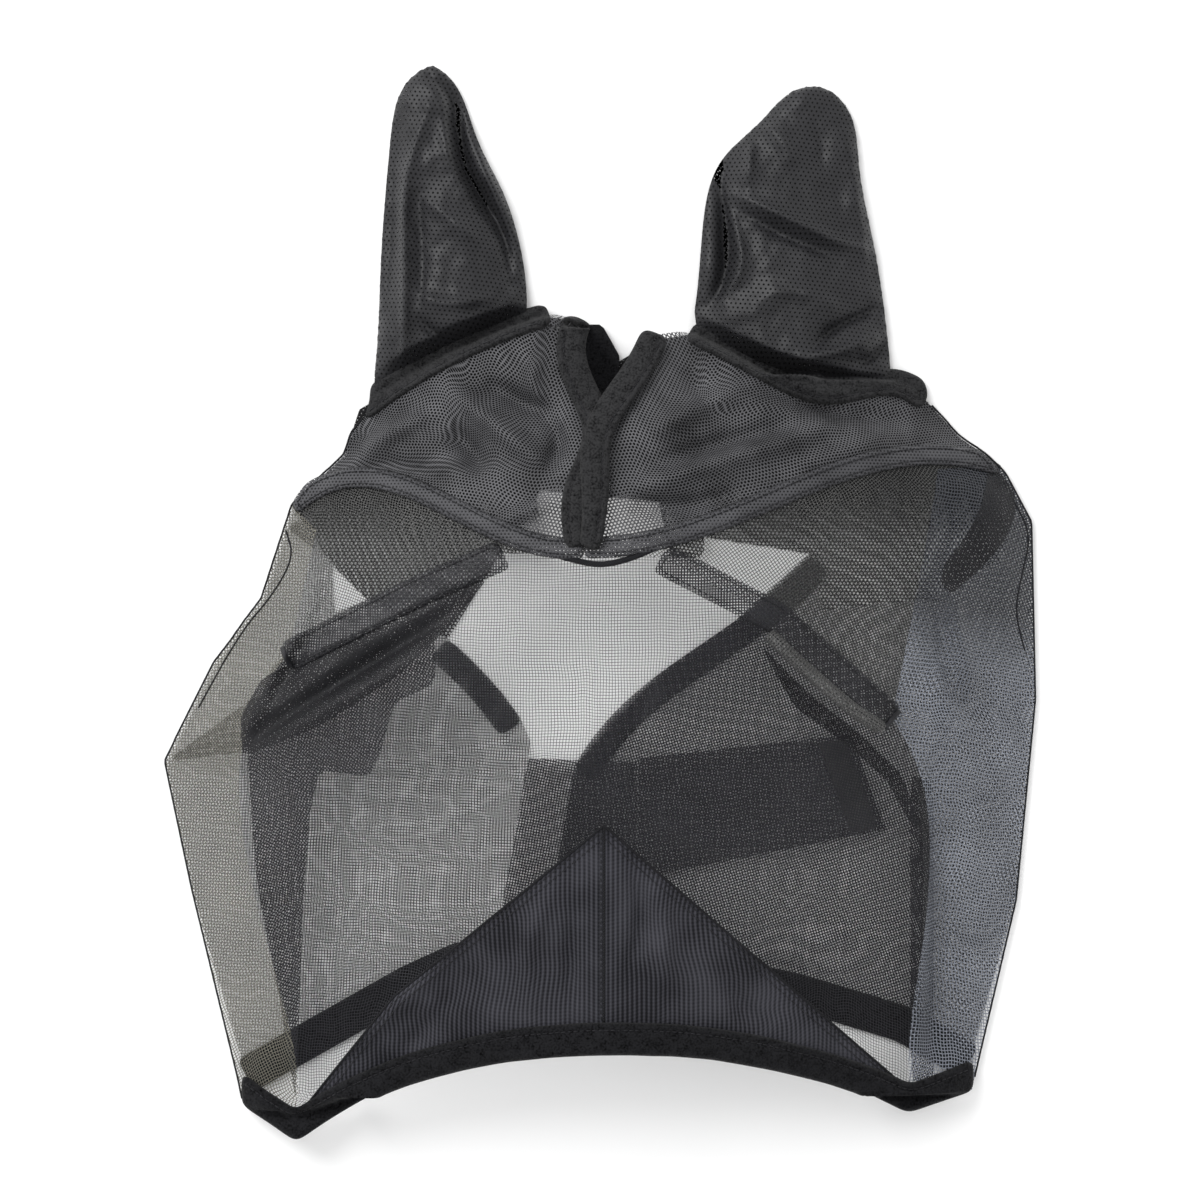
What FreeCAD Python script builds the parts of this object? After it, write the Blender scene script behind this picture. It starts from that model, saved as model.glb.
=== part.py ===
"""Fly mask with ear pockets, lying face up and closed, in millimetres.

The mask rests on its back layer: +Z is up, out of the face, +Y points to the ears and
-Y to the nose, +X is the right side as seen from above.  The origin is the middle of the
bounding box on the surface that the mask lies on.
Every piece of cloth is a slab.  The slabs of the back layer are flat.  The slabs of the
front layer and of the ears follow one domed surface each, cut to the outline of the piece.
"""
import FreeCAD, Part
import os

import Sketcher

doc = FreeCAD.newDocument("fly_mask")

# ---------------------------------------------------------------- driving dimensions

SIZES = [
    ("mesh_thick", 1.2, "coated mesh of the face and the jaw"),
    ("ear_thick", 1.2, "perforated knit of the ear pockets"),
    ("patch_thick", 1.6, "ribbed knit of the nose patch"),
    ("strip_thick", 1.4, "folded strip over a dart, or folded hem of a panel"),
    ("fleece_thick", 5.0, "fleece binding of the nose hem, front"),
    ("back_hem_thick", 3.0, "fleece binding of the nose hem, back"),
    ("binding_thick", 4.0, "fleece binding of the ear edges and the forelock opening"),
    ("tape_thick", 1.2, "hook tape and loop tape"),
    ("ply_gap", 0.1, "between cloths that are sewn flat on each other"),
    ("tape_gap", 0.4, "between the closed hook tape and loop tape"),
    ("face_rise", 82.0, "height of the front layer above its side creases"),
    ("face_peak_y", -40.0, "where the front layer is highest"),
    ("face_upper_span", 215.0, "from the highest place to where the ears end the dome"),
    ("face_lower_span", 320.0, "from the highest place to where the dome would end below"),
    ("crease_height", 1.4, "height of the side creases at the cheeks"),
    ("end_lift", 7.0, "how much higher the side creases are at hem and poll"),
    ("end_span", 220.0, "from the middle of the side creases to hem and poll"),
    ("end_middle_y", -60.0, "middle of the side creases"),
    ("crease_margin", 2.5, "how far a domed surface runs past the outline"),
    ("ear_rise", 22.0, "height of an ear pocket at its base"),
    ("ear_tip_rise", 7.0, "height of an ear pocket near its tip"),
    ("ear_edge_height", 4.0, "height of the side edges of an ear pocket"),
    ("ear_back_height", 2.0, "height of the back panel of an ear pocket"),
    ("ear_binding_width", 13.0, "visible width of the fleece along an ear edge"),
    ("forelock_width", 13.0, "visible width of the fleece along the forelock opening"),
    ("dart_width", 16.0, "width of the strip over a dart"),
    ("poll_hem_width", 11.0, "width of the folded hem of a poll panel"),
    ("throat_hem_width", 14.0, "width of the folded hem of a jaw panel"),
    ("nose_hem_width", 15.0, "width of the front of the fleece hem round the nose"),
    ("back_hem_width", 19.0, "width of the back of the fleece hem round the nose"),
    ("bartack_length", 12.0, "length of the stitched block that ends a dart"),
    ("bartack_width", 3.0, "width of the stitched block that ends a dart"),
    ("bartack_thick", 0.8, "thickness of the stitched block that ends a dart"),
    ("sweep_low", -20.0, "where every cutting prism starts"),
    ("sweep_high", 220.0, "height of every cutting prism"),
]

# Places on the pattern, seen from above: name, x, y, and what is there.
PLACES = [
    ("crown_left", -125.0, 99.0, "outer end of the left ear edge"),
    ("poll_side_left", -133.0, 75.0, "side crease at the left poll"),
    ("poll_edge_left", -160.0, 49.0, "outer end of the left poll seam"),
    ("temple_left", -176.0, 0.0, "side crease at the left temple"),
    ("side_left", -200.0, -32.0, "side crease above the left cheek"),
    ("cheek_left", -226.0, -84.0, "widest corner of the left cheek"),
    ("jaw_left", -212.0, -150.0, "side crease at the left jaw"),
    ("hem_side_left", -185.0, -261.0, "side end of the nose hem on the left"),
    ("hem_corner_left", -156.0, -277.5, "lowest corner of the nose hem on the left"),
    ("hem_low_left", -52.0, -233.0, "front of the nose hem, left of the middle"),
    ("hem_low", 8.0, -227.5, "front of the nose hem, in the middle"),
    ("hem_low_right", 83.0, -236.0, "front of the nose hem, right of the middle"),
    ("hem_corner_right", 159.0, -264.0, "lowest corner of the nose hem on the right"),
    ("hem_side_right", 193.0, -254.0, "side end of the nose hem on the right"),
    ("jaw_right", 216.0, -156.0, "side crease at the right jaw"),
    ("cheek_right", 226.0, -52.0, "side crease at the right cheek"),
    ("temple_right", 224.0, 40.0, "side crease at the right temple"),
    ("poll_edge_right", 208.0, 70.0, "outer end of the right poll seam"),
    ("poll_side_right", 187.0, 84.0, "side crease at the right poll"),
    ("crown_right", 169.0, 104.0, "outer end of the right ear edge"),
    ("ear_edge_left", -70.0, 131.0, "middle of the left ear edge"),
    ("ear_inner_left", -27.0, 147.0, "inner end of the left ear edge"),
    ("lock_top_left", -10.0, 145.0, "top of the forelock opening on the left"),
    ("lock_mid_left", -12.0, 114.0, "left edge of the forelock opening"),
    ("lock_cross", -1.0, 84.0, "where the two edges of the opening meet"),
    ("lock_low_left", -10.0, 58.0, "left edge of the opening below the crossing"),
    ("lock_low_right", -2.0, 54.0, "right edge of the opening below the crossing"),
    ("lock_foot_left", -13.0, 27.0, "foot of the left edge of the opening"),
    ("lock_foot_right", -4.0, 26.0, "foot of the right edge of the opening"),
    ("lock_foot", -8.0, 26.0, "foot of the forelock opening"),
    ("lock_mid_right", 13.0, 108.0, "right edge of the forelock opening"),
    ("lock_top_right", 28.0, 135.0, "top of the forelock opening on the right"),
    ("ear_inner_right", 47.0, 138.0, "inner end of the right ear edge"),
    ("ear_edge_right", 82.0, 120.0, "middle of the right ear edge"),
    ("ear_dip_right", 118.0, 107.0, "lowest place of the right ear edge"),
    ("ear_hump_right", 150.0, 113.0, "hump of the right ear edge"),
    ("poll_bump_left", -118.0, 63.0, "highest place of the left poll seam"),
    ("poll_dip_left", -56.0, 37.0, "left poll seam near the forehead"),
    ("poll_dip_right", 60.0, 40.0, "right poll seam near the forehead"),
    ("poll_bump_right", 128.0, 67.0, "highest place of the right poll seam"),
    ("dart_top_left", -48.0, 23.0, "start of the left dart"),
    ("dart_mid_left", -88.0, 6.0, "bend of the left dart"),
    ("dart_end_left", -160.0, -29.0, "end of the left dart"),
    ("dart_top_right", 30.0, 21.0, "start of the right dart"),
    ("dart_mid_right", 88.0, -9.0, "bend of the right dart"),
    ("dart_end_right", 147.0, -60.0, "end of the right dart"),
    ("gusset_top_left", -146.0, 36.0, "top of the left cheek seam"),
    ("gusset_high_left", -182.0, -73.0, "left cheek seam at the cheek"),
    ("gusset_low_left", -174.0, -160.0, "left cheek seam at the jaw"),
    ("gusset_foot_left", -155.0, -265.0, "left cheek seam at the nose hem"),
    ("gusset_top_right", 173.0, 67.0, "top of the right cheek seam"),
    ("gusset_high_right", 164.0, -94.0, "right cheek seam at the cheek"),
    ("gusset_low_right", 166.0, -160.0, "right cheek seam at the jaw"),
    ("gusset_foot_right", 159.0, -252.0, "right cheek seam at the nose hem"),
    ("patch_apex", 2.0, -112.0, "upper corner of the nose patch"),
    ("patch_foot", 2.0, -212.0, "centre seam of the nose patch at the hem"),
    ("patch_left", -104.0, -200.0, "left edge of the nose patch"),
    ("patch_right", 78.0, -179.0, "right edge of the nose patch"),
    ("neck_top_left", -54.0, 20.0, "upper left corner of the head opening"),
    ("neck_high_left", -31.0, 57.0, "edge of the crown panel, high on the left"),
    ("neck_high_right", 32.0, 51.0, "edge of the crown panel, high on the right"),
    ("neck_bend_right", 52.0, 33.0, "bend in the edge of the crown panel"),
    ("neck_top_right", 109.0, 24.0, "upper right corner of the head opening"),
    ("throat_left", -79.0, -20.0, "left corner of the head opening"),
    ("throat_mid_left", -52.0, -47.0, "head opening below the left cheek"),
    ("throat_low_left", -41.0, -62.0, "head opening left of the throat"),
    ("throat", -13.0, -86.0, "throat point of the head opening"),
    ("throat_low_right", 31.0, -38.0, "head opening right of the throat"),
    ("throat_right", 70.0, -11.0, "head opening below the right cheek"),
    ("crown_notch", 10.0, 124.0, "lowest place of the upper edge of the crown panel"),
    ("gap_low_left", -121.0, 0.0, "corner of the small gap beside the left wing"),
    ("gap_side_left", -138.0, -6.0, "outer corner of the small gap"),
    ("gap_top_left", -139.0, 18.0, "top of the small gap"),
    ("wing_inner_right", 116.0, -5.0, "inner corner of the right wing of the crown panel"),
    ("wing_low_right", 169.0, 0.0, "lower edge of the right wing of the crown panel"),
    ("wing_side_right", 210.0, 22.0, "outer corner of the right wing of the crown panel"),
    ("back_hem_side_left", -184.0, -247.0, "back of the nose hem at the left side crease"),
    ("back_hem_left", -99.0, -199.0, "back of the nose hem, left of the closure"),
    ("back_hem_end", -68.0, -185.0, "inner end of the back of the nose hem on the left"),
    ("back_hem_mid", -30.0, -176.0, "back of the nose hem, under the closure"),
    ("back_hem_right", 101.0, -203.0, "back of the nose hem, right of the closure"),
    ("back_hem_bend_right", 157.0, -220.0, "back of the nose hem near the right side"),
    ("back_hem_side_right", 192.0, -240.0, "back of the nose hem at the right side crease"),
    ("lap_top", -36.0, -74.0, "inner edge of the left jaw panel at the throat"),
    ("lap_low", -54.0, -178.0, "inner edge of the left jaw panel at the nose hem"),
    ("lap_riser_top", -42.0, -82.0, "outer edge of the step of the lap at the throat"),
    ("lap_riser_low", -60.0, -172.0, "outer edge of the step of the lap, lower end"),
    ("lap_edge_top", 19.2, -84.0, "fold side of the lap, upper end"),
    ("lap_edge_low", 19.2, -146.0, "fold side of the lap, lower end"),
    ("tongue_root_top", 20.0, -82.0, "upper end of the fold of the tongue"),
    ("tongue_top", 130.0, -70.0, "upper corner of the tongue"),
    ("tongue_tip", 148.0, -119.0, "tip of the tongue"),
    ("tongue_root_low", 20.0, -144.0, "lower end of the fold of the tongue"),
    ("tape_low_left", 130.0, -121.0, "lower corner of the hook and loop tapes"),
    ("tape_top_left", 113.0, -74.0, "upper corner of the hook and loop tapes"),
    ("tape_top_right", 127.5, -72.5, "upper end of the hook and loop tapes"),
    ("tape_low_right", 144.5, -118.0, "lower end of the hook and loop tapes"),
    ("ear_outer_left", -117.0, 118.0, "outer end of the base of the left ear"),
    ("ear_side_left", -114.0, 170.0, "outer side of the left ear"),
    ("ear_shoulder_left", -109.0, 237.0, "outer shoulder of the left ear"),
    ("ear_crown_left", -100.0, 269.0, "outer side of the tip of the left ear"),
    ("ear_tip_left", -87.0, 277.5, "tip of the left ear"),
    ("ear_turn_left", -77.0, 270.0, "inner side of the tip of the left ear"),
    ("ear_bend_left", -64.0, 240.0, "inner shoulder of the left ear"),
    ("ear_flank_left", -50.5, 212.0, "inner flank of the left ear"),
    ("ear_belly_left", -43.0, 190.0, "inner side of the left ear"),
    ("ear_root_left", -38.0, 154.0, "inner end of the base of the left ear"),
    ("ear_base_left", -76.0, 141.0, "middle of the base of the left ear"),
    ("ear_root_right", 49.0, 150.0, "inner end of the base of the right ear"),
    ("ear_belly_right", 53.0, 190.0, "inner side of the right ear"),
    ("ear_bend_right", 63.0, 228.0, "inner shoulder of the right ear"),
    ("ear_turn_right", 84.0, 249.0, "inner side of the tip of the right ear"),
    ("ear_crown_right", 101.0, 264.5, "inner corner of the tip of the right ear"),
    ("ear_tip_right", 109.0, 266.5, "tip of the right ear"),
    ("ear_round_right", 118.0, 265.0, "outer corner of the tip of the right ear"),
    ("ear_shoulder_right", 129.0, 254.0, "outer shoulder of the right ear"),
    ("ear_flank_right", 134.5, 225.0, "outer flank of the right ear"),
    ("ear_side_right", 141.0, 190.0, "outer side of the right ear"),
    ("ear_outer_right", 151.0, 117.0, "outer end of the base of the right ear"),
    ("ear_base_right", 101.0, 124.5, "middle of the base of the right ear"),
]


def write_sheet():
    """The spreadsheet with every driving size, and the x and y of every place."""
    new_sheet = doc.addObject("Spreadsheet::Sheet", "Sizes")
    rows = [(alias, value, note) for alias, value, note in SIZES]
    for name, x, y, note in PLACES:
        rows.append((name + "_x", x, note + ", x"))
        rows.append((name + "_y", y, note + ", y"))
    for number, (alias, value, note) in enumerate(rows, start=1):
        new_sheet.set(f"A{number}", note)
        new_sheet.set(f"B{number}", str(value))
        new_sheet.setAlias(f"B{number}", alias)
    doc.recompute()
    return new_sheet


sheet = write_sheet()


def size(alias):
    """The value of a cell of the sheet."""
    return float(getattr(sheet, alias))


def place(name):
    """A named place of the pattern, as a point at height 0."""
    return FreeCAD.Vector(size(name + "_x"), size(name + "_y"), 0)


# ---------------------------------------------------------------- outlines

CURVE_STEPS = 17  # points along a smooth curve that a band follows
HEM_SHIFT = 0.36  # share of its width by which a throat hem lies inside its edge


def path(*names):
    """One edge through the places: straight for two of them, smooth for more."""
    points = [place(name) for name in names]
    if len(points) == 2:
        return Part.LineSegment(points[0], points[1]).toShape()
    curve = Part.BSplineCurve()
    curve.interpolate(points)
    return curve.toShape()


def side(*names):
    """Straight edges from place to place."""
    return [path(first, second) for first, second in zip(names, names[1:])]


def region(edges):
    """The flat face inside a closed ring of edges."""
    return Part.Face(Part.Wire(Part.__sortEdges__(edges)))


def band(width, points):
    """A flat band of the given width along straight runs, mitred where they bend."""
    upward = FreeCAD.Vector(0, 0, 1)
    normals = []
    for first, second in zip(points, points[1:]):
        normals.append(upward.cross(second - first).normalize())
    before = normals[:1] + normals
    after = normals + normals[-1:]
    near = []
    far = []
    for point, one, two in zip(points, before, after):
        reach = (one + two) * (width / 2 / (1 + one.dot(two)))
        near.append(point + reach)
        far.append(point - reach)
    ring = near + far[::-1]
    return Part.Face(Part.makePolygon(ring + ring[:1]))


def runs(*names):
    """The places themselves, for a band of straight runs."""
    return [place(name) for name in names]


def bends(*names):
    """Points along the smooth curve through the places, for a band that follows it."""
    return path(*names).discretize(CURVE_STEPS)


def prism(face):
    """A tall cutter over a flat face."""
    low = face.copy()
    low.translate(FreeCAD.Vector(0, 0, size("sweep_low")))
    return low.extrude(FreeCAD.Vector(0, 0, size("sweep_high")))


# ---------------------------------------------------------------- the two domed surfaces

LEFT_SIDE = (
    "crown_left",
    "poll_side_left",
    "poll_edge_left",
    "temple_left",
    "side_left",
    "cheek_left",
    "jaw_left",
    "hem_side_left",
    "hem_corner_left",
)
RIGHT_SIDE = (
    "crown_right",
    "poll_side_right",
    "poll_edge_right",
    "temple_right",
    "cheek_right",
    "jaw_right",
    "hem_side_right",
    "hem_corner_right",
)
ROWS = 12  # rows of points along a domed surface
COLUMNS = 13  # points across it
CROSS_POWER = 2.2  # how full the dome is across: 2 is a parabola
TINY = 1e-9
EAR_BASE_MARGIN = 25.0  # how far an ear surface runs past the base of the ear
FACE_TOP_Y = 165.0  # ends of the surface of the front layer
FACE_LOW_Y = -290.0


def side_x(names, y):
    """The x of a side crease at a height y of the pattern."""
    points = [place(name) for name in names]
    if y >= points[0].y:
        return points[0].x
    for upper, lower in zip(points, points[1:]):
        if upper.y >= y >= lower.y:
            share = (upper.y - y) / (upper.y - lower.y)
            return upper.x + share * (lower.x - upper.x)
    return points[-1].x


def face_point(across, y):
    """A point of the front layer: across runs from -1 to 1 between the side creases."""
    left = side_x(LEFT_SIDE, y) - size("crease_margin")
    right = side_x(RIGHT_SIDE, y) + size("crease_margin")
    offset = y - size("face_peak_y")
    span = size("face_upper_span") if offset > 0 else size("face_lower_span")
    rise = size("face_rise") * (1 - (offset / span) ** 2)
    lift = size("end_lift") * ((y - size("end_middle_y")) / size("end_span")) ** 4
    height = size("crease_height") + lift + rise * (1 - abs(across) ** CROSS_POWER)
    middle = (left + right) / 2
    return FreeCAD.Vector(middle + across * (right - left) / 2, y, height)


def smooth_surface(rows):
    """A face through rows of points."""
    surface = Part.BSplineSurface()
    surface.interpolate(rows)
    return surface.toShape()


def face_surface():
    """The underside of the front layer, over the whole mask."""
    rows = []
    for row in range(ROWS):
        y = FACE_LOW_Y + (FACE_TOP_Y - FACE_LOW_Y) * row / (ROWS - 1)
        acrosses = [-1 + 2 * column / (COLUMNS - 1) for column in range(COLUMNS)]
        rows.append([face_point(across, y) for across in acrosses])
    return smooth_surface(rows)


def reach_at(points, along, spot, distance):
    """How far across a side edge of an ear lies, at a distance along the ear."""
    across = FreeCAD.Vector(along.y, -along.x, 0)
    pairs = [((point - spot).dot(along), (point - spot).dot(across)) for point in points]
    pairs.sort()
    if distance <= pairs[0][0]:
        return pairs[0][1]
    for (low, near), (high, far) in zip(pairs, pairs[1:]):
        if low <= distance <= high:
            return near + (far - near) * (distance - low) / max(high - low, TINY)
    return pairs[-1][1]


def ear_surface(outer_edge, inner_edge):
    """The underside of the front panel of an ear: domed between its two side edges."""
    outer = outer_edge.discretize(CURVE_STEPS)
    inner = inner_edge.discretize(CURVE_STEPS)
    start = (outer[0] + inner[-1]) / 2
    along = (outer[-1] - start).normalize()
    across = FreeCAD.Vector(along.y, -along.x, 0)
    length = (outer[-1] - start).dot(along)
    margin = size("crease_margin")
    rows = []
    for row in range(ROWS):
        share = row / (ROWS - 1)
        distance = -EAR_BASE_MARGIN + share * (length + EAR_BASE_MARGIN + margin)
        left = reach_at(outer, along, start, distance) - margin
        right = reach_at(inner, along, start, distance) + margin
        rise = size("ear_rise") + (size("ear_tip_rise") - size("ear_rise")) * share
        points = []
        for column in range(COLUMNS):
            side_share = -1 + 2 * column / (COLUMNS - 1)
            reach = (left + right) / 2 + side_share * (right - left) / 2
            spot = start + along * distance + across * reach
            dome = 1 - abs(side_share) ** CROSS_POWER
            spot.z = size("ear_edge_height") + rise * dome
            points.append(spot)
        rows.append(points)
    return smooth_surface(rows)


# ---------------------------------------------------------------- making the pieces

PIECES = []


def domed_piece(label, surface, face, lift, thick):
    """A piece of cloth on a domed surface, cut to a flat outline and thickened upwards."""
    skin = surface.common(prism(face)).Faces[0]
    skin.translate(FreeCAD.Vector(0, 0, lift))
    piece = doc.addObject("Part::Feature", label)
    piece.Label = label
    piece.Shape = skin.extrude(FreeCAD.Vector(0, 0, thick))
    piece.Placement = FreeCAD.Placement()
    PIECES.append(piece)
    return piece


def origin_plane(body):
    """The XY plane of a body."""
    for feature in body.Origin.OriginFeatures:
        if feature.Role == "XY_Plane":
            return feature
    raise RuntimeError("no XY plane in " + body.Name)


def bound_polygon(sketch, names):
    """Straight lines from place to place, each corner bound to its cells."""
    points = [place(name) for name in names]
    following = points[1:] + points[:1]
    for first, second in zip(points, following):
        sketch.addGeometry(Part.LineSegment(first, second), False)
    count = len(points)
    for index in range(count):
        joined = Sketcher.Constraint("Coincident", index, 2, (index + 1) % count, 1)
        sketch.addConstraint(joined)
    for index, name in enumerate(names):
        for kind, axis, value in (
            ("DistanceX", "_x", points[index].x),
            ("DistanceY", "_y", points[index].y),
        ):
            bound = sketch.addConstraint(Sketcher.Constraint(kind, -1, 1, index, 1, value))
            sketch.setExpression(f"Constraints[{bound}]", "Sizes." + name + axis)


def add_pad(body, name, names, bottom, thick):
    """A pad in a body: a polygon through the places, from bottom up by thick."""
    sketch = body.newObject("Sketcher::SketchObject", name + "_outline")
    sketch.AttachmentSupport = [(origin_plane(body), "")]
    sketch.MapMode = "FlatFace"
    sketch.setExpression("AttachmentOffset.Base.z", bottom)
    bound_polygon(sketch, names)
    pad = body.newObject("PartDesign::Pad", name + "_pad")
    pad.Profile = sketch
    pad.setExpression("Length", thick)
    return pad


def flat_piece(label, names, bottom, thick):
    """A flat piece of cloth or tape: one padded polygon."""
    body = doc.addObject("PartDesign::Body", label)
    body.Label = label
    add_pad(body, label, names, bottom, thick)
    PIECES.append(body)
    return body


def flat_strip(label, face, bottom, thick):
    """A flat piece of cloth of any outline, lying at a height."""
    low = face.copy()
    low.translate(FreeCAD.Vector(0, 0, bottom))
    piece = doc.addObject("Part::Feature", label)
    piece.Label = label
    piece.Shape = low.extrude(FreeCAD.Vector(0, 0, thick))
    piece.Placement = FreeCAD.Placement()
    PIECES.append(piece)
    return piece


# ---------------------------------------------------------------- front layer: mesh panels

face = face_surface()

POLL_SEAM_LEFT = ("poll_edge_left", "poll_bump_left", "poll_dip_left", "lock_foot")
POLL_SEAM_RIGHT = ("lock_foot", "poll_dip_right", "poll_bump_right", "poll_edge_right")
EAR_EDGE_LEFT = ("crown_left", "ear_edge_left", "ear_inner_left")
EAR_EDGE_RIGHT = (
    "ear_inner_right",
    "ear_edge_right",
    "ear_dip_right",
    "ear_hump_right",
    "crown_right",
)
CHEEK_SEAM_LEFT = ("dart_end_left", "gusset_high_left", "gusset_low_left", "gusset_foot_left")
CHEEK_SEAM_RIGHT = (
    "dart_end_right",
    "gusset_high_right",
    "gusset_low_right",
    "gusset_foot_right",
)


def poll_panels():
    """Stretch mesh over the poll, from the ear edge down to the brow, one panel a side."""
    left = [path(*EAR_EDGE_LEFT), path(*POLL_SEAM_LEFT)]
    left += side("ear_inner_left", "lock_top_left", "lock_mid_left", "lock_cross", "lock_foot")
    left += side("poll_edge_left", "poll_side_left", "crown_left")
    domed_piece("poll_panel_left", face, region(left), 0, size("mesh_thick"))
    right = [path(*EAR_EDGE_RIGHT), path(*POLL_SEAM_RIGHT)]
    right += side("lock_foot", "lock_cross", "lock_mid_right", "lock_top_right")
    right += side("lock_top_right", "ear_inner_right")
    right += side("crown_right", "poll_side_right", "poll_edge_right")
    domed_piece("poll_panel_right", face, region(right), 0, size("mesh_thick"))


def brow_panels():
    """Mesh between the poll seam and the dart, one panel a side."""
    left = [path(*POLL_SEAM_LEFT)]
    left += side("lock_foot", "dart_top_left", "dart_mid_left", "dart_end_left")
    left += side("dart_end_left", "gusset_top_left")
    left += side("gusset_top_left", "poll_edge_left")
    domed_piece("brow_panel_left", face, region(left), 0, size("mesh_thick"))
    right = [path(*POLL_SEAM_RIGHT)]
    right += side("lock_foot", "dart_top_right", "dart_mid_right", "dart_end_right")
    right += side("dart_end_right", "gusset_top_right", "poll_edge_right")
    domed_piece("brow_panel_right", face, region(right), 0, size("mesh_thick"))


def cheek_panels():
    """Mesh from the cheek seam out to the side crease, one panel a side."""
    left = [path(*CHEEK_SEAM_LEFT)]
    left += side("poll_edge_left", "gusset_top_left", "dart_end_left")
    left += side("poll_edge_left", "temple_left", "side_left", "cheek_left", "jaw_left")
    left += side("jaw_left", "hem_side_left", "gusset_foot_left")
    domed_piece("cheek_panel_left", face, region(left), 0, size("mesh_thick"))
    right = [path(*CHEEK_SEAM_RIGHT)]
    right += side("poll_edge_right", "gusset_top_right", "dart_end_right")
    right += side("poll_edge_right", "temple_right", "cheek_right", "jaw_right")
    right += side("jaw_right", "hem_side_right", "gusset_foot_right")
    domed_piece("cheek_panel_right", face, region(right), 0, size("mesh_thick"))


def face_panel():
    """The large mesh panel over the eyes and the nose, with the nose patch left out."""
    ring = [path(*CHEEK_SEAM_LEFT), path(*CHEEK_SEAM_RIGHT)]
    ring += side("dart_end_left", "dart_mid_left", "dart_top_left", "lock_foot")
    ring += side("lock_foot", "dart_top_right", "dart_mid_right", "dart_end_right")
    ring += side("gusset_foot_left", "patch_left", "patch_apex", "patch_right")
    ring += side("patch_right", "gusset_foot_right")
    domed_piece("face_panel", face, region(ring), 0, size("mesh_thick"))


def nose_patches():
    """The two halves of the ribbed patch over the nose, joined on a centre seam."""
    left = side("patch_apex", "patch_left", "gusset_foot_left", "patch_foot", "patch_apex")
    right = side("patch_apex", "patch_right", "gusset_foot_right", "patch_foot", "patch_apex")
    domed_piece("nose_patch_left", face, region(left), 0, size("patch_thick"))
    domed_piece("nose_patch_right", face, region(right), 0, size("patch_thick"))


# ---------------------------------------------------------------- front layer: strips

def above_mesh():
    """Height above the domed surface where a strip sewn on the mesh starts."""
    return size("mesh_thick") + size("ply_gap")


def poll_hems():
    """Folded hems along the lower edges of the poll panels."""
    left = band(size("poll_hem_width"), bends(*POLL_SEAM_LEFT))
    right = band(size("poll_hem_width"), bends(*POLL_SEAM_RIGHT))
    domed_piece("poll_hem_left", face, left, above_mesh(), size("strip_thick"))
    domed_piece("poll_hem_right", face, right, above_mesh(), size("strip_thick"))


def dart_strips():
    """Folded strips sewn over the darts that shape the mesh round the eyes."""
    width = size("dart_width")
    left = band(width, runs("dart_top_left", "dart_mid_left", "dart_end_left"))
    left = left.cut(band(size("poll_hem_width"), bends(*POLL_SEAM_LEFT)))
    right = band(width, runs("dart_top_right", "dart_mid_right", "dart_end_right"))
    right = right.cut(band(size("poll_hem_width"), bends(*POLL_SEAM_RIGHT)))
    domed_piece("dart_strip_left", face, left, above_mesh(), size("strip_thick"))
    domed_piece("dart_strip_right", face, right, above_mesh(), size("strip_thick"))


def bartacks():
    """Dense blocks of stitching on top of the outer ends of the dart strips."""
    lift = above_mesh() + size("strip_thick") + size("ply_gap")
    for label, end, start in (
        ("bartack_left", "dart_end_left", "dart_mid_left"),
        ("bartack_right", "dart_end_right", "dart_mid_right"),
    ):
        along = (place(start) - place(end)).normalize()
        across = FreeCAD.Vector(-along.y, along.x, 0)
        half_length = across * (size("bartack_length") / 2)
        half_width = along * (size("bartack_width") / 2)
        middle = place(end)
        corners = [
            middle + half_length + half_width,
            middle + half_length - half_width,
            middle - half_length - half_width,
            middle - half_length + half_width,
        ]
        outline = Part.Face(Part.makePolygon(corners + corners[:1]))
        domed_piece(label, face, outline, lift, size("bartack_thick"))


def forelock_bindings():
    """Fleece along the two edges of the forelock opening, the right over the left."""
    width = size("forelock_width")
    left = ("lock_top_left", "lock_mid_left", "lock_cross", "lock_low_left", "lock_foot_left")
    right = ("lock_top_right", "lock_mid_right", "lock_cross", "lock_low_right", "lock_foot_right")
    lift = above_mesh() + size("strip_thick") + size("ply_gap")
    over = lift + size("binding_thick") + size("ply_gap")
    thick = size("binding_thick")
    domed_piece("forelock_binding_left", face, band(width, bends(*left)), lift, thick)
    domed_piece("forelock_binding_right", face, band(width, bends(*right)), over, thick)


def ear_edge_bindings():
    """Fleece along the edges of the poll panels where the ears come out."""
    width = size("ear_binding_width")
    lift = above_mesh()
    left = band(width, bends(*EAR_EDGE_LEFT))
    right = band(width, bends(*EAR_EDGE_RIGHT))
    domed_piece("ear_edge_binding_left", face, left, lift, size("binding_thick"))
    domed_piece("ear_edge_binding_right", face, right, lift, size("binding_thick"))


def front_nose_hem():
    """The front of the fleece hem round the nose, arched up in the middle."""
    low = [path("hem_corner_left", "hem_low_left", "hem_low", "hem_low_right", "hem_corner_right")]
    low += side("hem_side_left", "hem_corner_left")
    low += side("hem_corner_right", "hem_side_right")
    high = [edge.copy() for edge in low]
    rise = FreeCAD.Vector(0, size("nose_hem_width"), 0)
    for edge in high:
        edge.translate(rise)
    ends = []
    for name in ("hem_side_left", "hem_side_right"):
        ends.append(Part.LineSegment(place(name), place(name) + rise).toShape())
    outline = region(low + high + ends)
    lift = size("patch_thick") + size("ply_gap")
    domed_piece("nose_hem_front", face, outline, lift, size("fleece_thick"))


# ---------------------------------------------------------------- back layer, flat

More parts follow.
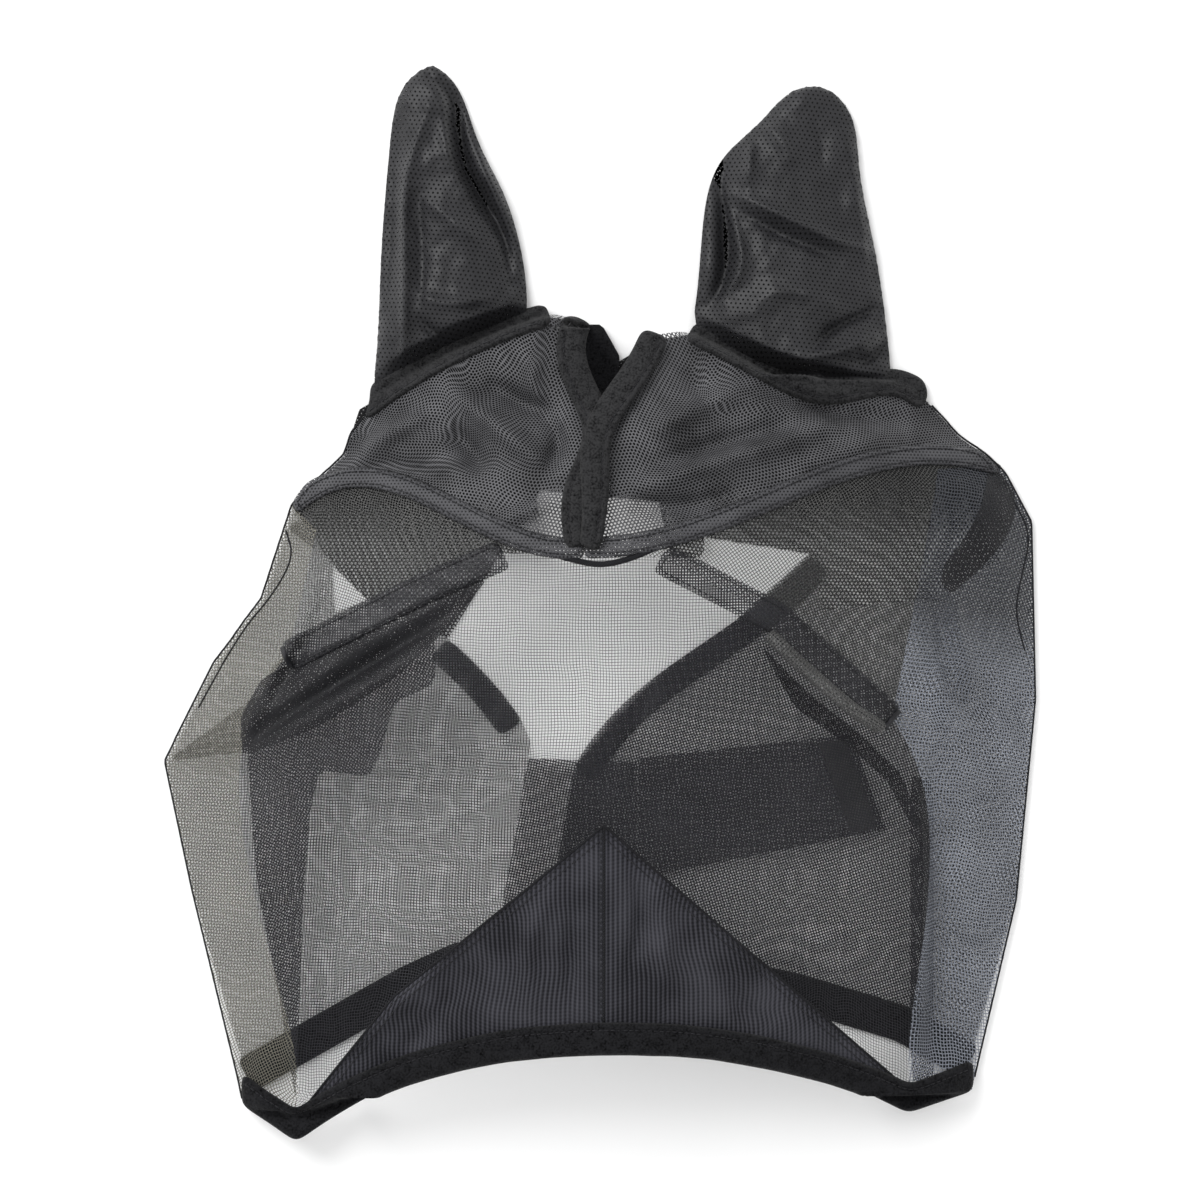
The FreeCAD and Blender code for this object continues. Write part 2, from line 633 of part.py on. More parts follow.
def crown_panel():
    """Stretch mesh behind the poll, the part that holds the mask behind the ears."""
    names = (
        "crown_left",
        "ear_edge_left",
        "ear_inner_left",
        "lock_top_left",
        "crown_notch",
        "lock_top_right",
        "ear_inner_right",
        "ear_edge_right",
        "ear_dip_right",
        "ear_hump_right",
        "crown_right",
        "poll_side_right",
        "poll_edge_right",
        "wing_side_right",
        "wing_low_right",
        "wing_inner_right",
        "neck_top_right",
        "neck_bend_right",
        "neck_high_right",
        "neck_high_left",
        "neck_top_left",
        "throat_left",
        "gap_low_left",
        "gap_top_left",
        "poll_edge_left",
        "poll_side_left",
    )
    flat_piece("crown_panel", names, "0 mm", "Sizes.mesh_thick * 1 mm")


# Heights of the plies of the closure, from the surface that the mask lies on.
LOOP_BOTTOM = "(Sizes.mesh_thick + Sizes.ply_gap) * 1 mm"
HOOK_BOTTOM = "(Sizes.mesh_thick + Sizes.ply_gap + Sizes.tape_thick + Sizes.tape_gap) * 1 mm"
TONGUE_BOTTOM = (
    "(Sizes.mesh_thick + 2 * Sizes.ply_gap + 2 * Sizes.tape_thick + Sizes.tape_gap) * 1 mm"
)
MESH_THICK = "Sizes.mesh_thick * 1 mm"
TAPE_THICK = "Sizes.tape_thick * 1 mm"


def right_jaw_panel():
    """The right half of the back layer: mesh from the right side crease past the middle."""
    names = (
        "poll_edge_right",
        "temple_right",
        "cheek_right",
        "jaw_right",
        "back_hem_side_right",
        "back_hem_bend_right",
        "back_hem_right",
        "back_hem_mid",
        "throat",
        "throat_low_right",
        "throat_right",
        "neck_top_right",
        "wing_inner_right",
        "wing_low_right",
        "wing_side_right",
    )
    flat_piece("jaw_panel_right", names, "0 mm", MESH_THICK)


def left_jaw_panel():
    """The left half of the back layer, with the lap that steps up over the right half."""
    names = (
        "poll_edge_left",
        "temple_left",
        "side_left",
        "cheek_left",
        "jaw_left",
        "back_hem_side_left",
        "back_hem_left",
        "lap_low",
        "lap_top",
        "throat_low_left",
        "throat_mid_left",
        "throat_left",
        "gap_low_left",
        "gap_side_left",
        "gap_top_left",
    )
    body = flat_piece("jaw_panel_left", names, "0 mm", MESH_THICK)
    riser = ("lap_riser_top", "lap_top", "lap_low", "lap_riser_low")
    add_pad(body, "lap_riser", riser, "0 mm", TONGUE_BOTTOM + " + " + MESH_THICK)
    lap = ("lap_riser_top", "lap_edge_top", "lap_edge_low", "lap_riser_low")
    add_pad(body, "lap", lap, TONGUE_BOTTOM, MESH_THICK)


def closure():
    """The tongue of the left lap with its hook tape, and the loop tape under it."""
    tape = ("tape_low_left", "tape_top_left", "tape_top_right", "tape_low_right")
    flat_piece("loop_tape", tape, LOOP_BOTTOM, TAPE_THICK)
    flat_piece("hook_tape", tape, HOOK_BOTTOM, TAPE_THICK)
    tongue = ("tongue_root_top", "tongue_top", "tongue_tip", "tongue_root_low")
    flat_piece("closure_tongue", tongue, TONGUE_BOTTOM, MESH_THICK)


def throat_hems():
    """Folded hems along the head opening of the jaw panels."""
    low = size("mesh_thick") + size("ply_gap")
    width = size("throat_hem_width")
    inside = width * HEM_SHIFT
    left = ("throat_left", "throat_mid_left", "throat_low_left")
    right = ("neck_top_right", "throat_right", "throat_low_right", "throat")
    for label, names, slant in (("throat_hem_left", left, -1), ("throat_hem_right", right, 1)):
        face = band(width, bends(*names))
        face.translate(FreeCAD.Vector(slant * inside, -inside, 0))
        flat_strip(label, face, low, size("strip_thick"))


def back_nose_hems():
    """The back of the fleece hem round the nose, from each side to the closure."""
    low = size("mesh_thick") + size("ply_gap")
    width = size("back_hem_width")
    right = ("back_hem_side_right", "back_hem_bend_right", "back_hem_right", "back_hem_mid")
    for label, names in (
        ("nose_hem_back_left", ("back_hem_side_left", "back_hem_left", "back_hem_end")),
        ("nose_hem_back_right", right),
    ):
        flat_strip(label, band(width, runs(*names)), low, size("back_hem_thick"))


# ---------------------------------------------------------------- ears

def ear_pocket(name, outer, inner, base):
    """The front and the back panel of an ear pocket, open at its base."""
    outer_edge = path(*outer)
    inner_edge = path(*inner)
    outline = region([outer_edge, inner_edge, path(*base)])
    surface = ear_surface(outer_edge, inner_edge)
    domed_piece("ear_front_" + name, surface, outline, 0, size("ear_thick"))
    flat_strip("ear_back_" + name, outline, size("ear_back_height"), size("ear_thick"))


def ear_pockets():
    """Both ears; the right one leans a little outwards."""
    ear_pocket(
        "left",
        (
            "ear_outer_left",
            "ear_side_left",
            "ear_shoulder_left",
            "ear_crown_left",
            "ear_tip_left",
        ),
        (
            "ear_tip_left",
            "ear_turn_left",
            "ear_bend_left",
            "ear_flank_left",
            "ear_belly_left",
            "ear_root_left",
        ),
        ("ear_root_left", "ear_base_left", "ear_outer_left"),
    )
    ear_pocket(
        "right",
        (
            "ear_root_right",
            "ear_belly_right",
            "ear_bend_right",
            "ear_turn_right",
            "ear_crown_right",
            "ear_tip_right",
        ),
        (
            "ear_tip_right",
            "ear_round_right",
            "ear_shoulder_right",
            "ear_flank_right",
            "ear_side_right",
            "ear_outer_right",
        ),
        ("ear_outer_right", "ear_base_right", "ear_root_right"),
    )


# ---------------------------------------------------------------- build and write

poll_panels()
brow_panels()
cheek_panels()
face_panel()
nose_patches()
poll_hems()
dart_strips()
bartacks()
forelock_bindings()
ear_edge_bindings()
front_nose_hem()
crown_panel()
right_jaw_panel()
left_jaw_panel()
closure()
throat_hems()
back_nose_hems()
ear_pockets()

doc.recompute()


def check_pieces():
    """Stop if any object failed, or if a piece has no sound solid."""
    for item in doc.Objects:
        if "Invalid" in item.State or "Error" in item.State:
            raise RuntimeError(item.Name + " failed: " + str(item.State))
    for piece in PIECES:
        shape = piece.Shape
        print(piece.Label, "solids", len(shape.Solids), "volume", round(shape.Volume))
        if shape.isNull() or not shape.isValid() or not shape.Solids:
            raise RuntimeError(piece.Label + " has no sound solid")


check_pieces()
os.makedirs("parts", exist_ok=True)
for piece in PIECES:
    piece.Shape.exportStep("parts/" + piece.Label + ".step")
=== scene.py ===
"""The looks of the fly mask, built around its CAD frame.

Every cloth that replaces a CAD slab takes its outline and its height from it.  Plies of folded
cloth, creases, wrinkles, seams and stitches are added as geometry.  The weaves are procedural
materials that follow the cloth laid flat.
"""

import math

import bpy
import numpy as np
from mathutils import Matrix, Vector, noise
from mathutils.bvhtree import BVHTree
from mathutils.geometry import delaunay_2d_cdt


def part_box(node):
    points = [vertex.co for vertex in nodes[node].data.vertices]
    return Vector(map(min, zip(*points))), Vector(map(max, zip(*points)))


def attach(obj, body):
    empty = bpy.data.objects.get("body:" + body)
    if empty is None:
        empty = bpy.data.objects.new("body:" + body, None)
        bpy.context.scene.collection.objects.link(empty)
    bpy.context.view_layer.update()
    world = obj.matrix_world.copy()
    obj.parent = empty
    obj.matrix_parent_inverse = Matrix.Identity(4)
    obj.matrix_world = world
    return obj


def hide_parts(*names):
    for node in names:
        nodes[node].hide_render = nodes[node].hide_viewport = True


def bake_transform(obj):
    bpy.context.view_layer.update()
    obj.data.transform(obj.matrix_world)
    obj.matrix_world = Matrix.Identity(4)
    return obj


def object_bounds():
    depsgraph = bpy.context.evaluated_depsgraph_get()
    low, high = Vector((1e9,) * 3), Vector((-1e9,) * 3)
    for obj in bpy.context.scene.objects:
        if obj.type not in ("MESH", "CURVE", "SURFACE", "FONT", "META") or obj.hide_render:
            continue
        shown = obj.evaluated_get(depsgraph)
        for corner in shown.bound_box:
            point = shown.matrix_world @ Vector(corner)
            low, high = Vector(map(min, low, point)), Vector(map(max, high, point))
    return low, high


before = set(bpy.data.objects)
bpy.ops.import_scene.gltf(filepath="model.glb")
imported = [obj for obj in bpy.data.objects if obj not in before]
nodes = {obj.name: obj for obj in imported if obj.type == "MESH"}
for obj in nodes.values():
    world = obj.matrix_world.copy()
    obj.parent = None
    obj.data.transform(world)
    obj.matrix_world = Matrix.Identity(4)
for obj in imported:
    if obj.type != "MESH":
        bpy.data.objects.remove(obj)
cad_low, cad_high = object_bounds()

MM = 0.001
DOWN = -0.05  # a face that looks this much downwards belongs to an underside
CORNER = math.radians(22)  # an outline has a corner where it turns more than this


# ---------------------------------------------------------------- outlines from the CAD

def rings_of(node):
    """The closed outlines of the undersides of a CAD slab, as rings of points, largest first."""
    mesh = nodes[node].data
    spot = [tuple(round(c, 6) for c in vertex.co) for vertex in mesh.vertices]
    sides = set()
    for polygon in mesh.polygons:
        if polygon.normal.z < DOWN:
            corners = [spot[index] for index in polygon.vertices]
            for pair in zip(corners, corners[1:] + corners[:1]):
                if pair[::-1] in sides:
                    sides.remove(pair[::-1])
                else:
                    sides.add(pair)
    following = dict(sides)
    rings = []
    while following:
        start = next(iter(following))
        ring = [start]
        here = following.pop(start)
        while here != start and here in following:
            ring.append(here)
            here = following.pop(here)
        rings.append(np.array(ring))
    return sorted(rings, key=lambda ring: abs(signed_area(ring)), reverse=True)


def signed_area(ring):
    """Area in plan inside a ring, below zero where the ring runs clockwise."""
    x, y = ring[:, 0], ring[:, 1]
    return (x * np.roll(y, -1) - np.roll(x, -1) * y).sum() / 2


def even_ring(ring, step):
    """A ring with the same corners and points about a step apart between them."""
    flat = ring[:, :2]
    before = flat - np.roll(flat, 1, axis=0)
    after = np.roll(flat, -1, axis=0) - flat
    turn = np.arctan2(
        before[:, 0] * after[:, 1] - before[:, 1] * after[:, 0],
        (before * after).sum(axis=1),
    )
    corners = np.flatnonzero(np.abs(turn) > CORNER)
    if len(corners) == 0:
        corners = np.array([0])
    points = []
    for first, last in zip(corners, np.roll(corners, -1)):
        count = (last - first) % len(flat) or len(flat)
        stretch = flat[(first + np.arange(count + 1)) % len(flat)]
        points.extend(even_line(stretch, step)[:-1])
    return np.array(points)


def even_line(line, step):
    """Points about a step apart along a line."""
    line = np.asarray(line, float)
    lengths = np.hypot(*np.diff(line, axis=0).T[:2])
    along = np.concatenate([[0], np.cumsum(lengths)])
    count = max(1, round(along[-1] / step))
    wanted = np.linspace(0, along[-1], count + 1)
    return np.stack([np.interp(wanted, along, line[:, axis]) for axis in (0, 1)], axis=1)


def looped(ring):
    """A ring as a line that ends where it starts."""
    return np.vstack([ring, ring[:1]])


def rounded(ring, step, passes):
    """A ring with its corners rounded, the more the more passes."""
    ring = even_ring(ring, step)
    for _ in range(passes):
        ring = (np.roll(ring, 1, axis=0) + 2 * ring + np.roll(ring, -1, axis=0)) / 4
    return ring


def tucked(ring, reach):
    """A ring with its lower edge drawn down, under the piece that covers the edge."""
    ring = even_ring(ring, 2 * MM)
    ahead = np.roll(ring, -1, axis=0) - np.roll(ring, 1, axis=0)
    ahead /= np.hypot(*ahead.T)[:, None]
    facing_down = ahead[:, 0] * np.sign(signed_area(ring))
    share = np.clip((facing_down - 0.4) / 0.3, 0, 1)  # the lower edge, fading out at its corners
    return ring - np.column_stack([np.zeros(len(ring)), share * reach])


def inside(points, ring):
    """Which points lie inside a ring."""
    hits = np.zeros(len(points), bool)
    x, y = points.T
    for (ax, ay), (bx, by) in zip(ring, np.roll(ring, -1, axis=0)):
        crosses = (ay > y) != (by > y)
        rise = by - ay if by != ay else 1.0
        hits ^= crosses & (x < ax + (y - ay) * (bx - ax) / rise)
    return hits


def line_distance(points, line, closed=False):
    """Distance in plan to a line, and the share of the line where it is nearest."""
    line = np.asarray(line, float)
    if closed:
        line = looped(line)
    runs = np.diff(line, axis=0)
    lengths = np.hypot(runs[:, 0], runs[:, 1])
    along = np.concatenate([[0], np.cumsum(lengths)])
    nearest = np.full(len(points), np.inf)
    share = np.zeros(len(points))
    for start, run, length, gone in zip(line, runs, lengths, along):
        if length == 0:
            continue
        part = np.clip(((points - start) @ run) / length**2, 0, 1)
        offset = points - start - part[:, None] * run
        distance = np.hypot(offset[:, 0], offset[:, 1])
        closer = distance < nearest
        nearest[closer] = distance[closer]
        share[closer] = (gone + part[closer] * length) / along[-1]
    return nearest, share


# ---------------------------------------------------------------- heights from the CAD

class Field:
    """Heights in a grid over the plan, and the lengths along the cloth from cell to cell."""

    def __init__(self, low, cell, grid):
        self.low = low
        self.cell = cell
        self.grid = grid
        self.across = self.arc(0)
        self.down = self.arc(1)

    def arc(self, axis):
        """Length along the cloth from the middle of the field."""
        steps = np.hypot(np.diff(self.grid, axis=axis), self.cell)
        first = np.zeros_like(np.take(steps, [0], axis=axis))
        lengths = np.concatenate([first, np.cumsum(steps, axis=axis)], axis=axis)
        middle = lengths.shape[axis] // 2
        return lengths - np.take(lengths, [middle], axis=axis)

    def read(self, table, points):
        """A table of the field at points of the plan, by cubic interpolation."""
        place = (points - self.low) / self.cell
        limit = np.array(table.shape) - 3
        base = np.clip(np.floor(place).astype(int), 1, limit)
        part = np.clip(place - base, -1, 2)
        across, down = (cubic_weights(t) for t in part.T)
        total = np.zeros(len(points))
        for i in range(4):
            for j in range(4):
                value = table[base[:, 0] + i - 1, base[:, 1] + j - 1]
                total += across[i] * down[j] * value
        return total

    def height(self, points):
        """Height of the cloth at points of the plan."""
        return self.read(self.grid, points)

    def flat(self, points):
        """Coordinates of the points on the cloth laid flat."""
        return np.stack([self.read(self.across, points), self.read(self.down, points)], axis=1)


def cubic_weights(t):
    """Weights of the four cells around a place, which is t of a cell past the second one."""
    return (
        ((2 - t) * t - 1) * t / 2,
        (t * t * (3 * t - 5) + 2) / 2,
        ((4 - 3 * t) * t + 1) * t / 2,
        (t - 1) * t * t / 2,
    )


CAD_CELL = 8 * MM  # cell of the field that is read from the CAD
FINE_CELL = 2 * MM  # cell of the field with the wrinkles
MARGIN = 20 * MM  # a field reaches this far past its nodes
SMOOTHINGS = 2


def cad_field(names):
    """The undersides of CAD nodes as one smooth field of heights."""
    spots = []
    faces = []
    for name in names:
        mesh = nodes[name].data
        first = len(spots)
        spots.extend(vertex.co.copy() for vertex in mesh.vertices)
        for polygon in mesh.polygons:
            if polygon.normal.z < DOWN:
                faces.append([first + index for index in polygon.vertices])
    tree = BVHTree.FromPolygons(spots, faces)
    used = np.array([spots[index] for face in faces for index in face])
    low = used.min(axis=0)[:2] - MARGIN
    count = np.ceil((used.max(axis=0)[:2] + MARGIN - low) / CAD_CELL).astype(int) + 1
    grid = np.zeros(count)
    for i in range(count[0]):
        for j in range(count[1]):
            x, y = low + np.array([i, j]) * CAD_CELL
            hit = tree.ray_cast(Vector((x, y, -1)), Vector((0, 0, 1)))[0]
            if hit is None:
                hit = tree.find_nearest(Vector((x, y, 0)))[0]
            grid[i, j] = hit.z
    for _ in range(SMOOTHINGS):
        grid = blurred(blurred(grid).T).T
    return Field(low, CAD_CELL, grid)


def blurred(grid):
    """A grid smoothed along its first axis."""
    padded = np.pad(grid, ((1, 1), (0, 0)), mode="edge")
    return (padded[:-2] + 2 * padded[1:-1] + padded[2:]) / 4


def fine_field(height, low, high):
    """A height function over a part of the plan as a fine field."""
    low = np.array(low) - MARGIN
    count = np.ceil((np.array(high) + MARGIN - low) / FINE_CELL).astype(int) + 1
    x = low[0] + np.arange(count[0]) * FINE_CELL
    y = low[1] + np.arange(count[1]) * FINE_CELL
    spots = np.stack(np.meshgrid(x, y, indexing="ij"), axis=2).reshape(-1, 2)
    return Field(low, FINE_CELL, height(spots).reshape(count))


FRONT_NODES = [
    "poll_panel_left", "poll_panel_right", "brow_panel_left", "brow_panel_right",
    "cheek_panel_left", "cheek_panel_right", "face_panel", "nose_patch_left", "nose_patch_right",
]
dome = cad_field(FRONT_NODES)

SIDE_COUNT = 520  # rows of the plan in which the silhouette is read
SIDE_STEP = 0.6 * MM


def side_lines():
    """The left and the right silhouette of the mask: x as a function of y."""
    rows = np.linspace(cad_low.y, cad_high.y, SIDE_COUNT)
    left = np.full(len(rows), np.inf)
    right = np.full(len(rows), -np.inf)
    for name in FRONT_NODES:
        ring = even_ring(rings_of(name)[0], SIDE_STEP)
        index = np.clip(np.searchsorted(rows, ring[:, 1]), 0, len(rows) - 1)
        np.minimum.at(left, index, ring[:, 0])
        np.maximum.at(right, index, ring[:, 0])
    known = np.isfinite(left)
    return rows[known], left[known], right[known]


SIDE_ROWS, SIDE_LEFT, SIDE_RIGHT = side_lines()


def side_distance(points):
    """Distance in plan from the nearer side crease."""
    left = points[:, 0] - np.interp(points[:, 1], SIDE_ROWS, SIDE_LEFT)
    right = np.interp(points[:, 1], SIDE_ROWS, SIDE_RIGHT) - points[:, 0]
    return np.clip(np.minimum(left, right), 0, None)


# ---------------------------------------------------------------- creases and wrinkles

# Each crease of the front layer: places along it in millimetres on the plan, its half width
# and its height in millimetres.  A negative height is a furrow.
CREASES = [
    # fans from the forelock opening over the poll
    ([(-86, 114), (-51, 87), (-23, 63)], 6, 9),
    ([(-60, 112), (-37, 98), (-22, 96)], 5, -8),
    ([(-78, 88), (-64, 76), (-58, 64)], 6, -10),
    ([(-124, 76), (-104, 88), (-88, 95)], 5, 8),
    ([(-128, 66), (-100, 70), (-76, 58)], 5, -6),
    ([(-28, 94), (-19, 80), (-28, 62)], 4, -8),
    ([(-52, 40), (-36, 44), (-20, 52)], 4, 6),
    ([(-30, 126), (-36, 112), (-30, 100)], 4, 6),
    ([(16, 55), (53, 68), (88, 79), (125, 92)], 6, 9),
    ([(27, 68), (64, 79), (101, 89)], 5, -8),
    ([(80, 111), (114, 95), (160, 92)], 5, -8),
    ([(24, 84), (52, 98), (74, 110)], 6, 8),
    ([(14, 48), (44, 46), (70, 54)], 5, -8),
    ([(96, 66), (126, 76), (150, 84)], 5, 6),
    ([(40, 118), (52, 104), (60, 88)], 5, -6),
    # the crease between front and side on the left
    ([(-160, 49), (-146, 24), (-144, 6), (-156, -20), (-174, -52), (-182, -73)], 4, 6),
    ([(-150, 30), (-139, 4), (-150, -22), (-166, -48)], 4, -5),
    ([(-182, -73), (-176, -146), (-166, -198), (-156, -250)], 4, 5),
    # the deep fold below the left dart
    ([(-66, -2), (-112, -30), (-160, -60), (-180, -74)], 5, -8),
    ([(-80, -20), (-128, -48), (-172, -72)], 4, 4),
    # the roll below the right dart, and the fold down from it
    ([(83, -18), (108, -42), (139, -64)], 5, 9),
    ([(79, -24), (105, -52), (132, -72), (151, -90), (160, -108)], 3, -8),
    ([(146, -74), (160, -92), (164, -130), (163, -200), (162, -240)], 4, 7),
    ([(170, -84), (173, -150), (171, -240)], 4, -6),
    ([(179, 3), (184, -22), (192, -47)], 4, 6),
    ([(170, 0), (174, -26), (182, -50)], 4, -5),
    # slack between the darts and over the nose
    ([(-38, -69), (-21, -84), (0, -86)], 3.5, 5),
    ([(-14, -86), (35, -113), (73, -130)], 5, 6),
    ([(4, -86), (52, -104), (104, -118)], 4, -4),
    ([(-10, -78), (-4, -52), (-8, -30)], 4, 3),
    ([(18, -66), (24, -44), (20, -24)], 5, -3),
    ([(-120, -86), (-80, -74), (-50, -69)], 4, 4),
    ([(28, -80), (92, -62), (136, -62)], 5, 5),
    ([(-143, -107), (-99, -117), (-39, -94)], 6, 5),
    ([(-130, -125), (-99, -137), (-57, -130)], 6, -5),
    ([(-135, -140), (-99, -160), (-52, -148)], 6, 5),
    ([(-146, -176), (-110, -186), (-84, -180)], 6, -4),
    ([(46, -146), (92, -140), (146, -152)], 6, 5),
    ([(70, -166), (104, -160), (150, -172)], 6, -5),
    ([(96, -196), (122, -184), (154, -192)], 6, 5),
    ([(-60, -160), (-96, -200), (-136, -236)], 4, 4),
    # wrinkles of the nose patch
    ([(16, -128), (22, -158), (14, -190)], 4, -5),
    ([(28, -136), (34, -168), (30, -200)], 5, 4),
    ([(-24, -142), (-38, -176), (-34, -210)], 5, 4),
    ([(-12, -150), (-16, -184), (-12, -208)], 4, -4),
    ([(60, -178), (68, -200), (84, -220)], 5, -4),
    ([(-66, -186), (-82, -210), (-104, -232)], 5, -3),
]


def creased(points, creases, end, power):
    """Height of creases, which start low at their ends.  A high power gives them steep sides."""
    total = np.zeros(len(points))
    for places, width, height in creases:
        distance, share = line_distance(points, smooth_line(places))
        rise = np.sin(np.pi * np.clip(share, end, 1 - end)) ** 0.6
        total += height * MM * rise * np.exp(-((distance / (width * MM)) ** power))
    return total


def relief(points):
    """Height of the creases and of the slack of the front cloth at points of the plan."""
    slack = 1.8 * MM * waves(points, 34 * MM)
    return creased(points, CREASES, 0.02, 2) + slack + 0.7 * MM * waves(points, 13 * MM)


def smooth_line(places):
    """Millimetre places joined by a rounded line, in metres."""
    line = np.array(places, float) * MM
    for _ in range(3):
        first = line[:-1] * 0.75 + line[1:] * 0.25
        second = line[:-1] * 0.25 + line[1:] * 0.75
        inner = np.stack([first, second], axis=1).reshape(-1, 2)
        line = np.vstack([line[:1], inner, line[-1:]])
    return line


NOISE_LEVEL = 3.7  # where the noise is cut to give a pattern in the plan
NOISE_GAIN = 1.6  # brings its peaks near to 1


def waves(points, size):
    """Smooth noise over the plan, between about -1 and 1."""
    places = (Vector((x / size, y / size, NOISE_LEVEL)) for x, y in points)
    return np.array([noise.noise(place) for place in places]) * NOISE_GAIN


def eased(share):
    """A share from 0 to 1 that starts and ends gently."""
    share = np.clip(share, 0, 1)
    return share * share * (3 - 2 * share)


CLOSE_REACH = 16 * MM  # the front comes down to the back layer over this width
CLOSE_LEVEL = 2.2 * MM  # and meets it at this height
NOSE_OPEN = 30 * MM  # but stays open over this length above the nose hem
CALM_EDGE = 12 * MM  # wrinkles fade out towards the side creases over this width


def shaped_front(points):
    """Height of the front cloth: the CAD dome, closed down to the back layer at the sides."""
    height = dome.height(points)
    reach = np.clip(side_distance(points) / CLOSE_REACH, 0, 1)
    middle = np.clip((points[:, 1] - cad_low.y) / NOSE_OPEN, 0, 1)
    closing = reach * (2 - reach)
    shaped = CLOSE_LEVEL + (height - CLOSE_LEVEL) * closing
    height = height * (1 - middle) + shaped * middle
    return height + relief(points) * np.clip(side_distance(points) / CALM_EDGE, 0, 1)


front = fine_field(shaped_front, cad_low[:2], cad_high[:2])
front_height = front.height


# ---------------------------------------------------------------- meshes

SAME = 1e-7  # points closer than this are one point


def fill(ring, step):
    """Points and triangles that fill an outline evenly."""
    low = ring.min(axis=0)
    high = ring.max(axis=0)
    row_gap = step * math.sqrt(0.75)
    spots = []
    for row, y in enumerate(np.arange(low[1], high[1], row_gap)):
        shift = step / 2 * (row % 2)
        spots.extend((x, y) for x in np.arange(low[0] + shift, high[0], step))
    spots = np.array(spots)
    spots = spots[inside(spots, ring)]
    clear = line_distance(spots, ring, closed=True)[0] > 0.6 * step
    everything = [Vector(point) for point in np.vstack([ring, spots[clear]])]
    count = len(ring)
    border = [(index, (index + 1) % count) for index in range(count)]
    made = delaunay_2d_cdt(everything, border, [], 1, SAME)
    return np.array([tuple(point) for point in made[0]]), np.array(made[2])


def new_object(name, spots, faces, flat, material):
    """A smooth mesh object, with its flat-cloth coordinates as a UV map."""
    mesh = bpy.data.meshes.new(name)
    mesh.from_pydata(spots, [], faces)
    mesh.polygons.foreach_set("use_smooth", [True] * len(mesh.polygons))
    corners = np.zeros(len(mesh.loops), int)
    mesh.loops.foreach_get("vertex_index", corners)
    layer = mesh.uv_layers.new(name="cloth")
    layer.data.foreach_set("uv", np.asarray(flat, np.float32)[corners].ravel())
    mesh.materials.append(material)
    made = bpy.data.objects.new(name, mesh)
    bpy.context.scene.collection.objects.link(made)
    return made


def cut_size(laid):
    """Width and length of the smallest rectangle round a flat cut."""
    angles = np.radians(range(0, 90, 5))
    sizes = [np.ptp(turned(laid, -angle), axis=0).tolist() for angle in angles]
    return tuple(min(sizes, key=lambda size: size[0] * size[1]))


def slab_area(node):
    """Area of the underside of a CAD slab: the area of the cloth that is cut for it."""
    polygons = nodes[node].data.polygons
    return sum(polygon.area for polygon in polygons if polygon.normal.z < DOWN)


def finish_piece(made, node, slot, body="mask"):
    """Hides the CAD node that a piece replaces and ties the piece to its body."""
    if node:
        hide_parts(node)
    if body:
        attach(made, body)
    return made


def turned(laid, angle):
    """Flat coordinates turned, so that the weave runs at an angle."""
    cosine, sine = math.cos(angle), math.sin(angle)
    return laid @ np.array([[cosine, sine], [-sine, cosine]])


def declare(laid):
    """Measures the size of the cut of a sheet."""
    size = cut_size(laid)


def cloth(
    name, ring, material, slot, height, flat,
    node=None, turn=0.0, step=3 * MM, body="mask", area=None,
):
    """One layer of cloth over an outline."""
    spots, faces = fill(even_ring(ring, step), step)
    laid = flat(spots)
    solid = np.column_stack([spots, height(spots)])
    made = new_object(name, solid, faces.tolist(), turned(laid, turn), material)
    finish_piece(made, node, slot, body)
    declare(laid)
    return made


def closed_piece(
    name, ring, material, slot, base, top, under, node=None, step=1.5 * MM, body="mask"
):
    """A closed piece over an outline: top and under give its two sides from the edge inwards."""
    ring = even_ring(ring, step)
    spots, faces = fill(ring, step)
    distance = line_distance(spots, ring, closed=True)[0]
    rim = distance < SAME
    corner = rim[faces].all(axis=1)  # the two sides of such a face would lie on each other
    used, faces = np.unique(faces[~corner], return_inverse=True)
    faces = faces.reshape(-1, 3)
    spots, distance, rim = spots[used], distance[used], rim[used]
    level = base(spots)
    upper = np.column_stack([spots, level + np.where(rim, 0, top(spots, distance))])
    lower = np.column_stack([spots, level - np.where(rim, 0, under(spots, distance))])
    inner = np.flatnonzero(~rim)
    other = np.arange(len(spots))
    other[inner] = len(spots) + np.arange(len(inner))
    both_sides = np.vstack([faces, other[faces[:, ::-1]]]).tolist()
    solid = np.vstack([upper, lower[inner]])
    laid = np.vstack([spots, spots[inner]])
    made = new_object(name, solid, both_sides, laid, material)
    return finish_piece(made, node, slot, body)


def round_edge(thick, radius):
    """A side that is level in the middle and rounded over a radius at the edge."""
    def side(_, distance):
        inward = np.clip(distance / radius, 0, 1)
        return thick * np.sqrt(1 - (1 - inward) ** 2)
    return side


def grooved(side, line, depth, width):
    """A side with a row of stitches drawn in."""
    def shaped(spots, distance):
        near = line_distance(spots, line)[0]
        return side(spots, distance) - depth * np.exp(-((near / width) ** 2))
    return shaped


GRAIN = 1.1 * MM  # size of the lumps of the fleece


def napped(side, depth, grain=GRAIN):
    """A side with the small lumps of a brushed pile."""
    def shaped(spots, distance):
        lumps = waves(spots, grain) + 0.6 * waves(spots, grain * 2.7)
        return side(spots, distance) + depth * lumps * np.clip(distance / (2 * grain), 0, 1)
    return shaped


# ---------------------------------------------------------------- stitches

STITCH = 3.1 * MM  # from hole to hole
THREAD = 0.33 * MM  # radius of the thread
ROUND = 6  # sides of a thread or a tube
STITCH_SHARES = (0.1, 0.26, 0.5, 0.74, 0.9)  # places along a stitch
FACING = 0.35  # an edge faces a direction if its normal points that much along it


